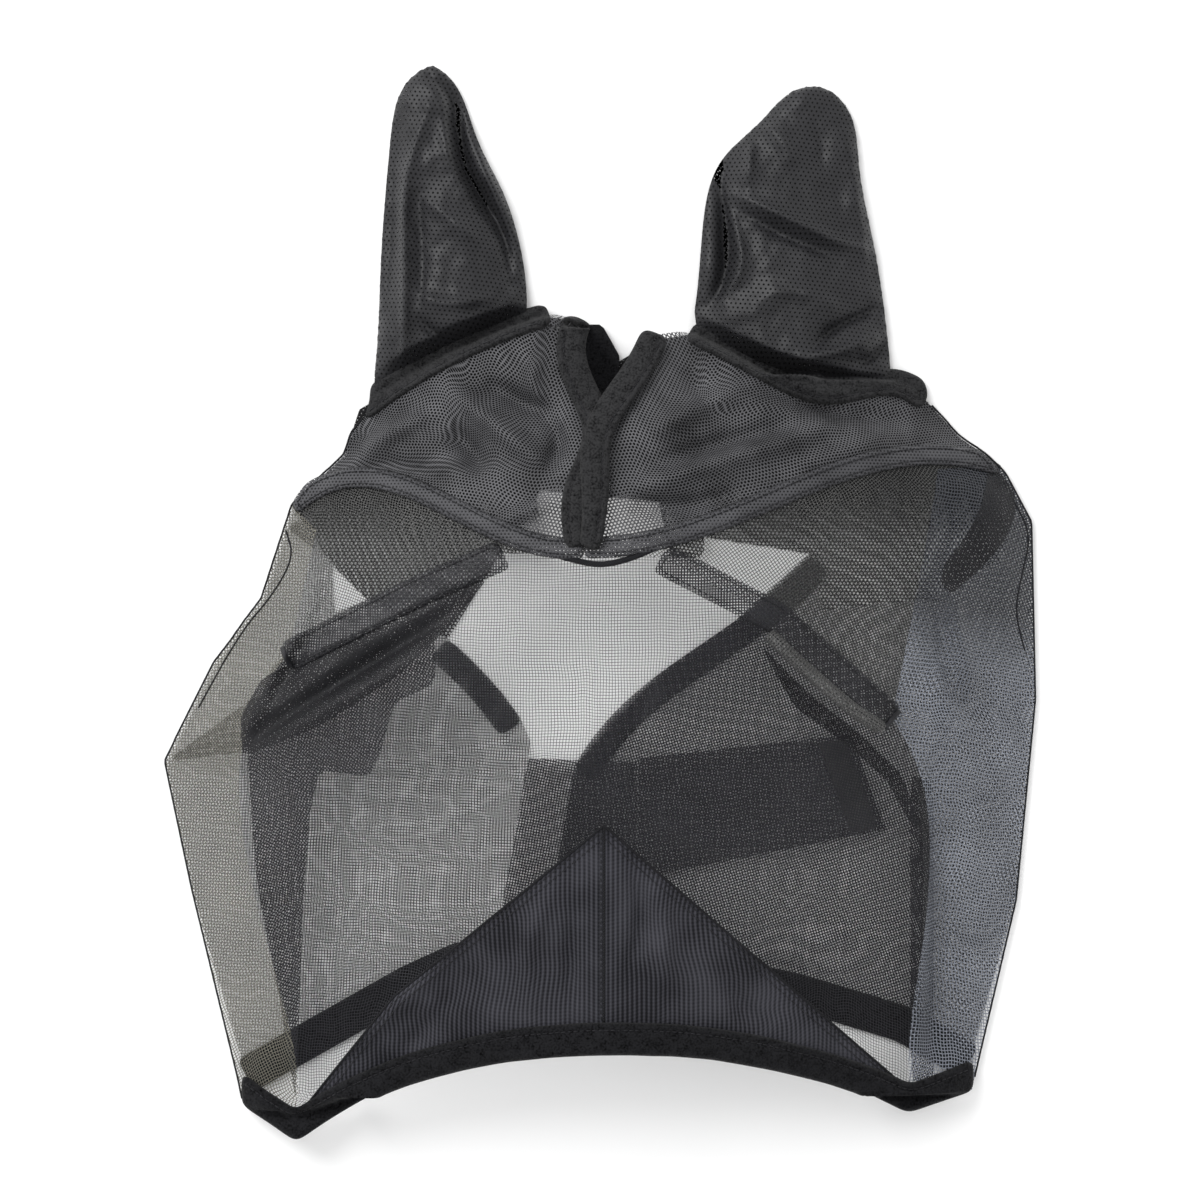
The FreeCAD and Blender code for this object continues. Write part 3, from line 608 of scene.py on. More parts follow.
def inset(ring, distance):
    """A ring moved inwards, and its outward normals."""
    ahead = np.roll(ring, -1, axis=0) - np.roll(ring, 1, axis=0)
    normal = np.column_stack([ahead[:, 1], -ahead[:, 0]])
    normal /= np.maximum(np.hypot(*normal.T), SAME)[:, None]
    outward = normal * np.sign(signed_area(ring))
    return ring - outward * distance, outward


def edge_line(ring, direction, distance, step=STITCH):
    """The part of a ring that faces a direction, moved inwards, as an open line."""
    ring = even_ring(ring, step)
    moved, outward = inset(ring, distance)
    facing = outward @ np.array(direction, float) > FACING
    start = np.flatnonzero(facing & ~np.roll(facing, 1))[0]
    changes = np.flatnonzero(np.diff(np.roll(facing, -start))) + 1
    facing_runs = np.split(np.roll(moved, -start, axis=0), changes)[::2]
    return max(facing_runs, key=len)


def stitches(name, line, height):
    """A row of stitches along a line of the plan: short threads, each arched between two holes."""
    spots = []
    faces = []
    points = even_line(line, STITCH)
    solid = np.column_stack([points, height(points)])
    for start, end in zip(solid, solid[1:]):
        add_stitch(spots, faces, start, end)
    made = new_object(name, spots, faces, np.array(spots)[:, :2], THREADS)
    finish_piece(made, None, "thread")


def add_stitch(spots, faces, start, end):
    """One stitch between two points."""
    along = end - start
    length = math.sqrt(float(along @ along))
    if length < THREAD:
        return
    along = along / length
    aside = np.array([-along[1], along[0], 0.0])
    aside /= max(math.hypot(aside[0], aside[1]), SAME)
    upward = np.cross(along, aside)
    first = len(spots)
    for share in STITCH_SHARES:
        bulge = math.sin(math.pi * (share - 0.06) / 0.88)  # small near the holes, 1 in the middle
        centre = start + along * length * share + upward * THREAD * (1.5 * bulge - 0.6)
        radius = THREAD * (0.55 + 0.45 * bulge)
        for step in range(ROUND):
            angle = 2 * math.pi * step / ROUND
            spots.append(centre + radius * (math.cos(angle) * aside + math.sin(angle) * upward))
    for ring in range(len(STITCH_SHARES) - 1):
        for step in range(ROUND):
            low = first + ring * ROUND
            after = (step + 1) % ROUND
            faces.append((low + step, low + after, low + ROUND + after, low + ROUND + step))
    last = first + (len(STITCH_SHARES) - 1) * ROUND
    faces.append(tuple(first + step for step in reversed(range(ROUND))))
    faces.append(tuple(last + step for step in range(ROUND)))


# ---------------------------------------------------------------- materials

def linear(value):
    """Linear light of a display value from 0 to 255."""
    share = value / 255
    return share / 12.92 if share <= 0.04045 else ((share + 0.055) / 1.055) ** 2.4


def tone(red, green, blue):
    """A colour given in display values."""
    return (linear(red), linear(green), linear(blue), 1.0)


class Recipe:
    """A node material under construction."""

    def __init__(self, name, roughness, sheen, gloss):
        self.material = bpy.data.materials.new(name)
        self.material.use_nodes = True
        self.tree = self.material.node_tree
        self.shader = self.tree.nodes["Principled BSDF"]
        self.feed(self.shader, {"Roughness": roughness, "Specular IOR Level": gloss})
        self.feed(self.shader, {"Sheen Weight": sheen, "Sheen Roughness": 0.5})
        self.uv = self.add("UVMap", {}, uv_map="cloth").outputs[0]
        split = self.add("SeparateXYZ", {0: self.uv})
        self.u, self.v = split.outputs[0], split.outputs[1]

    def feed(self, node, values):
        """Sockets or plain values at the inputs of a node."""
        for name, value in values.items():
            if isinstance(value, bpy.types.NodeSocket):
                self.tree.links.new(value, node.inputs[name])
            else:
                node.inputs[name].default_value = value

    def add(self, kind, values, **settings):
        """A node with its settings and the values at its inputs."""
        node = self.tree.nodes.new("ShaderNode" + kind)
        for name, value in settings.items():
            setattr(node, name, value)
        self.feed(node, values)
        return node

    def math(self, operation, *values):
        """The result of a math node on sockets or numbers."""
        return self.add("Math", dict(enumerate(values)), operation=operation).outputs[0]

    def wave(self, value, cycle):
        """A sine over the cloth that repeats after a length in metres."""
        return self.math("SINE", self.math("MULTIPLY", value, 2 * math.pi / cycle))

    def clipped(self, value):
        """A value cut off at 0 and at 1."""
        return self.math("MINIMUM", self.math("MAXIMUM", value, 0.0), 1.0)

    def noise(self, size, detail=2.0):
        """Noise over the cloth with patches of about the given size in metres, 0 to 1."""
        values = {"Scale": 1 / size, "Detail": detail, "Vector": self.uv}
        return self.add("TexNoise", values).outputs["Fac"]

    def spread(self, value, low, high):
        """A value from 0 to 1 stretched between two ends."""
        return self.add("MapRange", {"Value": value, "To Min": low, "To Max": high}).outputs[0]

    def colour(self, share, first, second):
        """Base colour between two tones."""
        mix = self.add("Mix", {"Factor": share, "A": first, "B": second}, data_type="RGBA")
        self.feed(self.shader, {"Base Color": mix.outputs["Result"]})

    def bump(self, height, distance, strength):
        """Fine relief of a height from 0 to 1, this deep in metres."""
        values = {"Distance": distance, "Strength": strength, "Height": height}
        self.feed(self.shader, {"Normal": self.add("Bump", values).outputs[0]})

    def pierce(self, distance, radius):
        """Open holes where a distance is below a radius."""
        self.feed(self.shader, {"Alpha": self.math("GREATER_THAN", distance, radius)})

    def worn(self, pattern, low, high):
        """Roughness between two ends, by a pattern from 0 to 1."""
        self.feed(self.shader, {"Roughness": self.spread(pattern, low, high)})


def woven_mesh(name, pitch, open_share, dark, light, bright_below=None):
    """A square net of coated threads with open holes.

    Threads that catch the light are brighter below a place of the flat cloth.
    """
    made = Recipe(name, 0.42, sheen=0.02, gloss=0.2)
    hole = math.sqrt(open_share) / 2
    drift = made.math("MULTIPLY", made.math("SUBTRACT", made.noise(30 * MM), 0.5), 1.5)
    threads = []
    for axis in (made.u, made.v):
        turns = made.math("ADD", made.math("DIVIDE", axis, pitch), drift)
        offset = made.math("SUBTRACT", made.math("FRACT", turns), 0.5)
        threads.append(made.math("ABSOLUTE", offset))
    nearest = made.math("MAXIMUM", threads[0], threads[1])
    made.pierce(nearest, hole)
    over = made.wave(made.u, 2 * pitch)
    under = made.wave(made.v, 2 * pitch)
    weave = made.math("MULTIPLY_ADD", made.math("MULTIPLY", over, under), 0.5, 0.5)
    patches = made.math("MULTIPLY", made.noise(45 * MM), weave)
    if bright_below is not None:
        climb = made.math("MULTIPLY", made.math("SUBTRACT", bright_below, made.v), 1 / SHEEN_DROP)
        patches = made.math("MULTIPLY", patches, made.clipped(climb))
    made.colour(made.spread(patches, 0.1, 1.3), dark, light)
    made.worn(made.noise(20 * MM), 0.34, 0.55)
    made.bump(made.math("ADD", nearest, weave), 0.25 * MM, 0.6)
    return made.material


def hole_distance(made, pitch):
    """Distance to the nearest hole of a staggered pattern, in pitches."""
    tall = math.sqrt(3)
    distances = []
    for shift in (0.0, 0.5):
        parts = []
        for axis, length, stretch in ((made.u, pitch, 1.0), (made.v, pitch * tall, tall)):
            turns = made.math("ADD", made.math("DIVIDE", axis, length), shift)
            offset = made.math("SUBTRACT", made.math("FRACT", turns), 0.5)
            parts.append(made.math("POWER", made.math("MULTIPLY", offset, stretch), 2.0))
        distances.append(made.math("SQRT", made.math("ADD", *parts)))
    return made.math("MINIMUM", *distances)


def stretch_mesh(name, pitch, radius, dark, light):
    """A stretch knit with staggered round holes, its threads painted lighter away from the holes: a
    painted highlight on the threads.
    """
    made = Recipe(name, 0.5, sheen=0.02, gloss=0.2)
    distance = hole_distance(made, pitch)
    made.pierce(distance, radius)
    # painted highlight and shade: the threads lighter away from the holes and darker at their rims
    rim_shade = made.math("SUBTRACT", distance, radius)
    shade = made.math("MULTIPLY_ADD", rim_shade, 2.4, made.spread(made.noise(26 * MM), -0.3, 0.9))
    made.colour(shade, dark, light)
    made.worn(made.noise(12 * MM), 0.42, 0.6)
    made.bump(distance, 0.5 * MM, 0.8)
    return made.material


def lining_mesh(name, pitch, tight, slack, dark, light):
    """A stretch knit whose holes are nearly closed at the poll and drawn open at the throat."""
    made = Recipe(name, 0.5, sheen=0.02, gloss=0.15)
    distance = hole_distance(made, pitch)
    stretch = made.math("MULTIPLY", made.math("SUBTRACT", LINING_TOP, made.v), 1 / LINING_DROP)
    radius = made.spread(stretch, tight, slack)
    made.pierce(distance, radius)
    made.colour(made.spread(made.noise(26 * MM), -0.2, 1.2), dark, light)
    made.worn(made.noise(12 * MM), 0.42, 0.6)
    made.bump(distance, 0.5 * MM, 0.8)
    return made.material


def perforated_knit(name, pitch, radius, dark, light):
    """A close knit with a regular pattern of small holes, each in a dimple and ringed by painted shade.
    """
    made = Recipe(name, 0.5, sheen=0.03, gloss=0.3)
    distance = hole_distance(made, pitch)
    made.pierce(distance, radius)
    rim_shade = made.math("MULTIPLY", made.math("SUBTRACT", distance, radius), 5.0)
    patches = made.spread(made.noise(30 * MM), 0.35, 1.0)
    # painted shade: the knit darker near each hole, in its dimple
    made.colour(made.math("MULTIPLY", made.clipped(rim_shade), patches), dark, light)
    made.worn(made.noise(18 * MM), 0.4, 0.58)
    made.bump(made.math("MINIMUM", distance, radius * 1.6), 1.1 * MM, 1.0)
    return made.material


def rib_knit(name, pitch, dark, light):
    """An opaque knit with fine ribs that run from poll to nose."""
    made = Recipe(name, 0.72, sheen=0.03, gloss=0.1)
    rib = made.wave(made.u, pitch)
    loops = made.wave(made.v, pitch * 0.8)
    height = made.math("MULTIPLY_ADD", loops, 0.25, rib)
    shade = made.math("MULTIPLY_ADD", made.noise(40 * MM), 1.4, -0.2)
    ribbed = made.math("MULTIPLY_ADD", height, 0.4, shade)
    made.colour(ribbed, dark, light)
    made.worn(made.noise(9 * MM), 0.62, 0.85)
    made.bump(height, 0.3 * MM, 0.7)
    return made.material


def fleece(name, dark, light):
    """A short brushed pile."""
    made = Recipe(name, 0.92, sheen=0.04, gloss=0.02)
    fine = made.noise(1.1 * MM, 5.0)
    coarse = made.noise(5 * MM, 3.0)
    mixed = made.math("MULTIPLY_ADD", fine, 0.8, made.math("MULTIPLY", coarse, 0.4))
    made.colour(made.spread(mixed, -1.6, 2.4), dark, light)
    made.worn(coarse, 0.82, 1.0)
    made.bump(mixed, 1.2 * MM, 0.8)
    return made.material


def tape(name, pitch, dark, light):
    """A folded strip of close cloth with a fine diagonal grain."""
    made = Recipe(name, 0.6, sheen=0.02, gloss=0.15)
    weave = made.math("MULTIPLY", made.wave(made.u, pitch), made.wave(made.v, pitch))
    shade = made.math("MULTIPLY_ADD", weave, 0.35, made.noise(10 * MM))
    made.colour(shade, dark, light)
    made.worn(made.noise(6 * MM), 0.45, 0.7)
    made.bump(weave, 0.25 * MM, 0.8)
    return made.material


def thread(name, dark, light):
    """Sewing thread with a slight shine."""
    made = Recipe(name, 0.45, sheen=0.02, gloss=0.2)
    ply = made.wave(made.math("ADD", made.u, made.v), 0.9 * MM)
    made.colour(made.spread(made.noise(3 * MM), 0.0, 1.0), dark, light)
    made.bump(ply, 0.1 * MM, 0.6)
    return made.material


LINING_TOP = 0.075  # the knit of the back is slack above this height in the plan
LINING_DROP = 0.045  # and fully stretched this much lower
SHEEN_DROP = 0.03  # the lit threads set in over this length

FACE_MESH = woven_mesh("face_mesh", 1.5 * MM, 0.71, tone(26, 26, 29), tone(58, 58, 63))
BACK_MESH = woven_mesh("back_mesh", 1.5 * MM, 0.6, tone(26, 26, 28), tone(98, 98, 96))
# dark, dense gathered mesh; its darkness is partly painted shade deep in the folds beside the darts
GATHERED_SHADE_MESH = woven_mesh("gathered_shade_mesh", 1.3 * MM, 0.24, tone(10, 10, 12), tone(30, 30, 34))
DOUBLE_MESH = woven_mesh("doubled_mesh", 1.4 * MM, 0.36, tone(16, 16, 18), tone(58, 58, 62))
# the light warm tone of the left cheek threads is a painted highlight: light reflected by the threads
WARM_GLINT_MESH = woven_mesh("left_cheek_mesh", 1.6 * MM, 0.58, tone(40, 39, 34), tone(146, 143, 131))
# the light bluish tone of the right cheek threads, strongest towards the bottom, is a painted
# highlight: the sky reflected in the threads
BLUE_GLINT_MESH = woven_mesh(
    "right_cheek_mesh", 1.8 * MM, 0.5, tone(13, 13, 15), tone(174, 180, 193), bright_below=0.02
)
HEM_MESH = stretch_mesh("poll_hem_mesh", 1.9 * MM, 0.16, tone(6, 6, 7), tone(70, 70, 73))
ROLL_MESH = woven_mesh("rolled_mesh", 1.5 * MM, 0.4, tone(34, 34, 35), tone(120, 120, 118))
# the light tone of the poll knit is a painted highlight on its threads
POLL_MESH = stretch_mesh("poll_mesh", 1.9 * MM, 0.31, tone(6, 6, 7), tone(92, 92, 95))
LINING = lining_mesh("crown_knit", 2.0 * MM, 0.1, 0.32, tone(5, 5, 5), tone(26, 26, 28))
EAR_KNIT = perforated_knit("ear_knit", 2.5 * MM, 0.15, tone(6, 6, 7), tone(42, 42, 45))
PATCH_KNIT = rib_knit("nose_patch_knit", 2.4 * MM, tone(18, 18, 22), tone(66, 66, 72))
FLEECE = fleece("binding_fleece", tone(4, 4, 5), tone(47, 47, 48))
HEM_FLEECE = fleece("nose_hem_fleece", tone(1, 1, 1), tone(32, 32, 34))
STRIP = tape("folded_tape", 1.3 * MM, tone(14, 14, 16), tone(32, 32, 36))
HOOKS = tape("hook_and_loop", 0.9 * MM, tone(30, 30, 30), tone(120, 120, 116))
THREADS = thread("sewing_thread", tone(8, 8, 9), tone(46, 46, 50))


# ---------------------------------------------------------------- front layer

# Heights above the underside of the CAD slabs of the front.
CLOTH_LIFT = 0.6 * MM  # the cloth, which runs through the middle of its slab
PLEAT_LIFT = 0.95 * MM  # a pleat on top of the cloth
BARTACK_LIFT = 2.7 * MM  # a bartack on top of its strip


def on_front(lift):
    """Height of a layer that lies on the front cloth."""
    return lambda points: front_height(points) + lift


def front_panels():
    """The cloth of every panel of the front."""
    for node, material, slot, turn in (
        ("face_panel", FACE_MESH, "face_mesh", 0.0),
        ("brow_panel_left", BACK_MESH, "face_mesh", 0.30),
        ("brow_panel_right", BACK_MESH, "face_mesh", -0.62),
        ("cheek_panel_left", WARM_GLINT_MESH, "face_mesh", -0.45),
        ("cheek_panel_right", BLUE_GLINT_MESH, "face_mesh", 0.12),
        ("poll_panel_left", POLL_MESH, "poll_mesh", 0.2),
        ("poll_panel_right", POLL_MESH, "poll_mesh", -0.2),
        ("nose_patch_left", PATCH_KNIT, "rib_knit", 0.0),
        ("nose_patch_right", PATCH_KNIT, "rib_knit", 0.0),
    ):
        cloth(
            node + "_cloth", rings_of(node)[0], material, slot, on_front(CLOTH_LIFT), front.flat,
            node=node, turn=turn, step=2.5 * MM, area=slab_area(node),
        )


STRIP_ROW = 1.7  # height in millimetres of the row of stitches above the base of a strip


def folded_strip(node, material, slot, base, thick, passes, seam, depth):
    """A folded strip with a row of sewing drawn in all round.  Gives the line of the row."""
    ring = rounded(rings_of(node)[0], 1.5 * MM, passes)
    line = looped(inset(even_ring(ring, STITCH), seam)[0])
    top = grooved(round_edge(thick, 1.3 * MM), line, depth, 0.7 * MM)
    under = round_edge(0.2 * MM, 1 * MM)
    closed_piece(node + "_strip", ring, material, slot, base, top, under, node=node)
    return line


def strips():
    """Folded hems of the poll panels, strips over the darts and their bartacks."""
    for node, material, slot, lift in (
        ("poll_hem_left", HEM_MESH, "poll_mesh", 1.4),
        ("poll_hem_right", HEM_MESH, "poll_mesh", 1.4),
        ("dart_strip_left", DOUBLE_MESH, "folded_tape", 1.3),
        ("dart_strip_right", DOUBLE_MESH, "folded_tape", 1.3),
    ):
        base = on_front(lift * MM)
        line = folded_strip(
            node, material, slot, base, thick=1.8 * MM, passes=4, seam=2.4 * MM, depth=0.8 * MM
        )
        stitches(node + "_stitches", line, on_front((lift + STRIP_ROW) * MM))
    for node in ("bartack_left", "bartack_right"):
        closed_piece(
            node + "_block", rings_of(node)[0], THREADS, "thread", on_front(BARTACK_LIFT),
            napped(round_edge(1.1 * MM, 1.2 * MM), 0.25 * MM, 0.8 * MM),
            round_edge(0.3 * MM, 1 * MM),
            node=node, step=0.7 * MM,
        )


PILE = 0.9 * MM  # the pile stands out this far round a binding
PINCH = 0.25  # share of their width that the forelock bindings lose at their foot
PINCH_LENGTH = 45 * MM  # they are drawn in over this length above it
FOOT = 8 * MM  # their lowest part, where the two meet
ROW_DEPTH = 1.4  # a row of stitches lies this many millimetres under the top of a binding


def pinched(ring):
    """The two forelock bindings drawn together towards their foot, where they meet."""
    both = np.vstack([rings_of("forelock_binding_" + side)[0] for side in ("left", "right")])
    foot = both[:, 1].min()
    feet = both[both[:, 1] < foot + FOOT]
    middle = (feet[:, 0].min() + feet[:, 0].max()) / 2
    drawn = eased((foot + PINCH_LENGTH - ring[:, 1]) / PINCH_LENGTH)
    across = middle + (ring[:, 0] - middle) * (1 - PINCH * drawn)
    return np.column_stack([across, ring[:, 1]])


def bindings():
    """Fleece along the ear edges, the forelock opening and round the nose."""
    for node, material, thick, lift, direction, seam in (
        ("ear_edge_binding_left", FLEECE, 3.6, 1.0, (0.2, -1), 3.4),
        ("ear_edge_binding_right", FLEECE, 3.6, 1.0, (-0.1, -1), 3.4),
        ("forelock_binding_left", FLEECE, 3.2, 2.6, (-1, 0), 3.6),
        ("forelock_binding_right", FLEECE, 3.2, 5.6, (1, 0), 3.6),
        ("nose_hem_front", HEM_FLEECE, 5.0, 1.2, (0, 1), 3.6),
    ):
        ring = rounded(rings_of(node)[0], 1.2 * MM, 14)
        ring = inset(ring, -PILE)[0]
        if "forelock" in node:
            ring = pinched(ring)
        line = edge_line(ring, direction, seam * MM)
        side = napped(round_edge(thick * MM, 5 * MM), 0.5 * MM)
        made = closed_piece(
            node + "_roll", ring, material, "fleece", on_front(lift * MM),
            grooved(side, line, 1.5 * MM, 0.9 * MM),
            napped(round_edge(1.8 * MM, 4 * MM), 0.2 * MM),
            node=node, step=1.2 * MM,
        )
        stitches(node + "_stitches", line, on_front((lift + thick - ROW_DEPTH) * MM))


TUBE_STEP = 2 * MM


def tube(name, line, radius, material, slot):
    """A thin closed roll along a line of the plan, on the front cloth."""
    points = even_line(line, TUBE_STEP)
    solid = np.column_stack([points, front_height(points) + CLOTH_LIFT])
    ahead = np.gradient(solid, axis=0)
    ahead /= np.linalg.norm(ahead, axis=1)[:, None]
    aside = np.cross(ahead, np.array([0.0, 0.0, 1.0]))
    aside /= np.linalg.norm(aside, axis=1)[:, None]
    upward = np.cross(aside, ahead)
    count = len(points)
    run = np.arange(count) * TUBE_STEP
    spots = []
    laid = []
    for share in range(ROUND):
        angle = 2 * math.pi * share / ROUND
        spots.append(solid + radius * (math.cos(angle) * aside + math.sin(angle) * upward))
        laid.append(np.column_stack([run, np.full(count, angle * radius)]))
    faces = []
    for share in range(ROUND):
        here = share * count
        after = (share + 1) % ROUND * count
        for index in range(count - 1):
            faces.append((here + index, here + index + 1, after + index + 1, after + index))
    faces.append(tuple(share * count for share in range(ROUND)))
    faces.append(tuple(share * count + count - 1 for share in reversed(range(ROUND))))
    made = new_object(name, np.vstack(spots), faces, np.vstack(laid), material)
    return finish_piece(made, None, slot)


# Seams and rolled edges on the front: name, half width in millimetres and places of the plan.
SEAMS = [
    ("brow_seam", 1.5, [(-30, 25), (-14, 20), (0, 17), (14, 20), (28, 26)]),
    ("side_seam_left", 0.5, [(-163, 36), (-158, 22), (-170, 2), (-186, -16), (-208, -56)]),
    ("side_seam_right", 0.5, [(214, 52), (224, 34), (218, 12), (214, -6), (220, -26)]),
]

# Places of the plan along the slack of mesh rolled up below the right dart.
DART_ROLL = [(84, -17), (96, -29), (112, -43), (126, -55), (141, -64)]
EDGE_START = 6 * MM  # a rolled edge starts this far above the end of its cheek panel
EDGE_END = 3 * MM  # and ends this far above the start of the ear binding


def seams():
    """The rolled edges at the two sides, and the seams of the front."""
    for side, edge in (("left", SIDE_LEFT), ("right", SIDE_RIGHT)):
        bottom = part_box("cheek_panel_" + side)[0].y + EDGE_START
        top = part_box("ear_edge_binding_" + side)[0].y + EDGE_END
        kept = (SIDE_ROWS > bottom) & (SIDE_ROWS < top)
        line = np.column_stack([edge[kept], SIDE_ROWS[kept]])[::2]
        tube("rolled_edge_" + side, line, 0.5 * MM, STRIP, "folded_tape")
    for name, radius, places in SEAMS:
        tube(name, smooth_line(places), radius * MM, STRIP, "folded_tape")
    tube("dart_roll_right", smooth_line(DART_ROLL), 3.6 * MM, ROLL_MESH, "face_mesh")


def patch_seams():
    """The seam down the middle of the nose patch and the rows along its two sloping edges."""
    left = even_ring(rings_of("nose_patch_left")[0], STITCH)
    right = even_ring(rings_of("nose_patch_right")[0], STITCH)
    inner, slope_left, slope_right = (1, 0), (-0.6, 1), (0.6, 1)
    for name, ring, direction, distance in (
        ("middle_row_left", left, inner, 1.6),
        ("edge_row_left", left, slope_left, 1.8),
        ("second_row_left", left, slope_left, 4.6),
        ("edge_row_right", right, slope_right, 1.8),
        ("second_row_right", right, slope_right, 4.6),
    ):
        line = edge_line(ring, direction, distance * MM)
        stitches("nose_patch_" + name, line, on_front(CLOTH_LIFT))
    for name, ring, direction in (
        ("middle_seam", left, inner),
        ("edge_left", left, slope_left),
        ("edge_right", right, slope_right),
    ):
        line = edge_line(ring, direction, 0.0)
        tube("nose_patch_" + name, line, 0.7 * MM, STRIP, "folded_tape")


# ---------------------------------------------------------------- back layer

CREASE_LEVEL = 1.6 * MM  # height of the side creases
CREASE_REACH = 6 * MM  # the back layer rises to them over this width
LAP_LEVEL = 4.8 * MM  # the left jaw panel and its tongue lie on the right one
LAP_CLIMB = 12 * MM  # the left jaw panel rises to its lap over this length


def back_height(level):
    """Height of a flat back layer: slack in the middle, up to the side crease at its edges."""
    def height(points):
        near = np.clip(1 - side_distance(points) / CREASE_REACH, 0, 1) ** 2
        slack = 0.5 * MM * (1 + waves(points, 26 * MM))
        value = level * MM + np.clip(slack, 0, None)
        return value + (CREASE_LEVEL - value) * near
    return height


def plan(points):
    """Coordinates of a level cloth laid flat: its own plan."""
    return points.copy()


def level_at(height):
    """Height of a level layer."""
    return lambda points: np.full(len(points), height)


def back_panels():
    """The back layer, and the lap of its left half."""
    lap = even_ring(rings_of("jaw_panel_left")[1], 3 * MM)

    def left_jaw(points):
        distance = line_distance(points, lap, closed=True)[0]
        value = back_height(0.6)(points)
        return value + (LAP_LEVEL - value) * eased(1 - distance / LAP_CLIMB)

    for node, height, turn, material, slot in (
        ("crown_panel", back_height(0.6), 0.0, LINING, "poll_mesh"),
        ("jaw_panel_right", back_height(0.5), -0.33, DOUBLE_MESH, "face_mesh"),
        ("jaw_panel_left", left_jaw, 0.05, BACK_MESH, "face_mesh"),
    ):
        cloth(
            node + "_cloth", rings_of(node)[0], material, slot, height, plan,
            node=node, turn=turn, step=3.5 * MM,
        )
    cloth(
        "jaw_panel_left_lap", rings_of("jaw_panel_left")[1], DOUBLE_MESH, "face_mesh",
        level_at(LAP_LEVEL), plan, turn=0.2,
    )


def closure():
    """The tongue of the lap, and its two tapes."""
    tongue = cloth(
        "closure_tongue_cloth", rings_of("closure_tongue")[0], DOUBLE_MESH, "face_mesh",
        level_at(LAP_LEVEL), plan,
        node="closure_tongue", turn=0.2, body=None,
    )
    low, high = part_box("closure_tongue")
    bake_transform(tongue)
    for node, body in (("loop_tape", "mask"), ("hook_tape", "tongue")):
        low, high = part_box(node)
        thick = high.z - low.z
        closed_piece(
            node + "_pad", rings_of(node)[0], HOOKS, "hook_and_loop", level_at(low.z + 0.2 * MM),
            napped(round_edge(thick - 0.2 * MM, 0.8 * MM), 0.08 * MM, 0.9 * MM),
            round_edge(0.15 * MM, 0.8 * MM),
            node=node, body=body,
        )


def back_hems():
    """The hems along the throat and the back of the nose hem."""
    for node in ("throat_hem_left", "throat_hem_right"):
        base = level_at(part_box(node)[0].z + 0.3 * MM)
        folded_strip(
            node, DOUBLE_MESH, "folded_tape", base,
            thick=1.4 * MM, passes=8, seam=2.2 * MM, depth=0.4 * MM,
        )
    for node in ("nose_hem_back_left", "nose_hem_back_right"):
        low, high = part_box(node)
        ring = rounded(rings_of(node)[0], 1.4 * MM, 10)
        thick = high.z - low.z - 0.8 * MM
        made = closed_piece(
            node + "_roll", ring, HEM_FLEECE, "fleece", level_at(low.z + 0.8 * MM),
            napped(round_edge(thick, 4 * MM), 0.4 * MM),
            round_edge(0.7 * MM, 3 * MM),
            node=node, step=1.4 * MM,
        )


# Plies of folded cloth: name, cloth, slot, where the ply lies between the back (0) and the
# front (1), or None for a pleat on top of the front, how its weave is turned, and its corners
# in millimetres.
# The plies of gathered mesh are dark partly as painted shade deep in the folds.
PLIES = [
    (
        "cheek_fold_left", DOUBLE_MESH, "face_mesh", 0.7, 0.5,
        [(-168, -32), (-130, -20), (-84, -6), (-83, -42), (-104, -52), (-112, -80)]
        + [(-117, -89), (-143, -87), (-148, -110), (-152, -156), (-156, -234), (-157, -258)]
        + [(-166, -198), (-176, -146), (-181, -73)],
    ),
    (
        "dart_fold_left", GATHERED_SHADE_MESH, "face_mesh", None, -0.2,
        [(-56, 11), (-74, -12), (-100, -37), (-140, -63), (-182, -80), (-184, -60)]
        + [(-173, -40), (-142, -25), (-104, -7), (-84, 3)],
    ),
    (
        "dart_fold_left_under", GATHERED_SHADE_MESH, "face_mesh", 0.78, 0.4,
        [(-76, 0), (-84, -16), (-104, -30), (-142, -53), (-180, -76), (-178, -64), (-120, -22)],
    ),
    ("side_wedge_left", DOUBLE_MESH, "face_mesh", 0.5, 0.9, [(-226, -84), (-174, -47), (-182, -78)]),
    ("side_tuck_left", DOUBLE_MESH, "face_mesh", 0.6, 0.2, [(-162, 37), (-151, 46), (-146, 25)]),
    (
        "dart_fold_right", GATHERED_SHADE_MESH, "face_mesh", 0.8, 0.3,
        [(80, -22), (105, -47), (132, -68), (153, -88), (164, -116), (157, -112), (146, -92)]
        + [(126, -74), (98, -54)],
    ),
    (
        "cheek_fold_right", GATHERED_SHADE_MESH, "face_mesh", 0.7, -0.4,
        [(158, -90), (171, -92), (173, -248), (160, -248)],
    ),
    (
        "cheek_tuck_right", FACE_MESH, "face_mesh", 0.6, -0.2,
        [(160, 4), (182, 3), (192, -46), (178, -70), (166, -40)],
    ),
    (
        "wing_facing_right", GATHERED_SHADE_MESH, "face_mesh", None, 0.5,
        [(201, 67), (208, 66), (215, 56), (215, 44), (208, 30), (195, 16), (179, 3), (173, 9)]
        + [(175, 18), (188, 34), (196, 49)],
    ),
    ("poll_turning_left", LINING, "poll_mesh", 0.05, 0.1, [(-54, 66), (-34, 66), (-30, 24), (-54, 24)]),
    ("poll_turning_right", LINING, "poll_mesh", 0.05, 0.1, [(28, 64), (54, 64), (54, 22), (36, 22)]),
    (
        "forelock_lining", HEM_FLEECE, "fleece", 0.05, 0.0,
        [(-12, 143), (1, 143), (11, 125), (4, 100), (-6, 104)],
    ),
]

BACK_TOP = 3 * MM  # a ply at the back lies this high
FRONT_GAP = 1 * MM  # and a ply at the front this far under the front cloth


def between(share):
    """Height of a ply that lies between the back and the front."""
    return lambda points: BACK_TOP + (front_height(points) - BACK_TOP - FRONT_GAP) * share


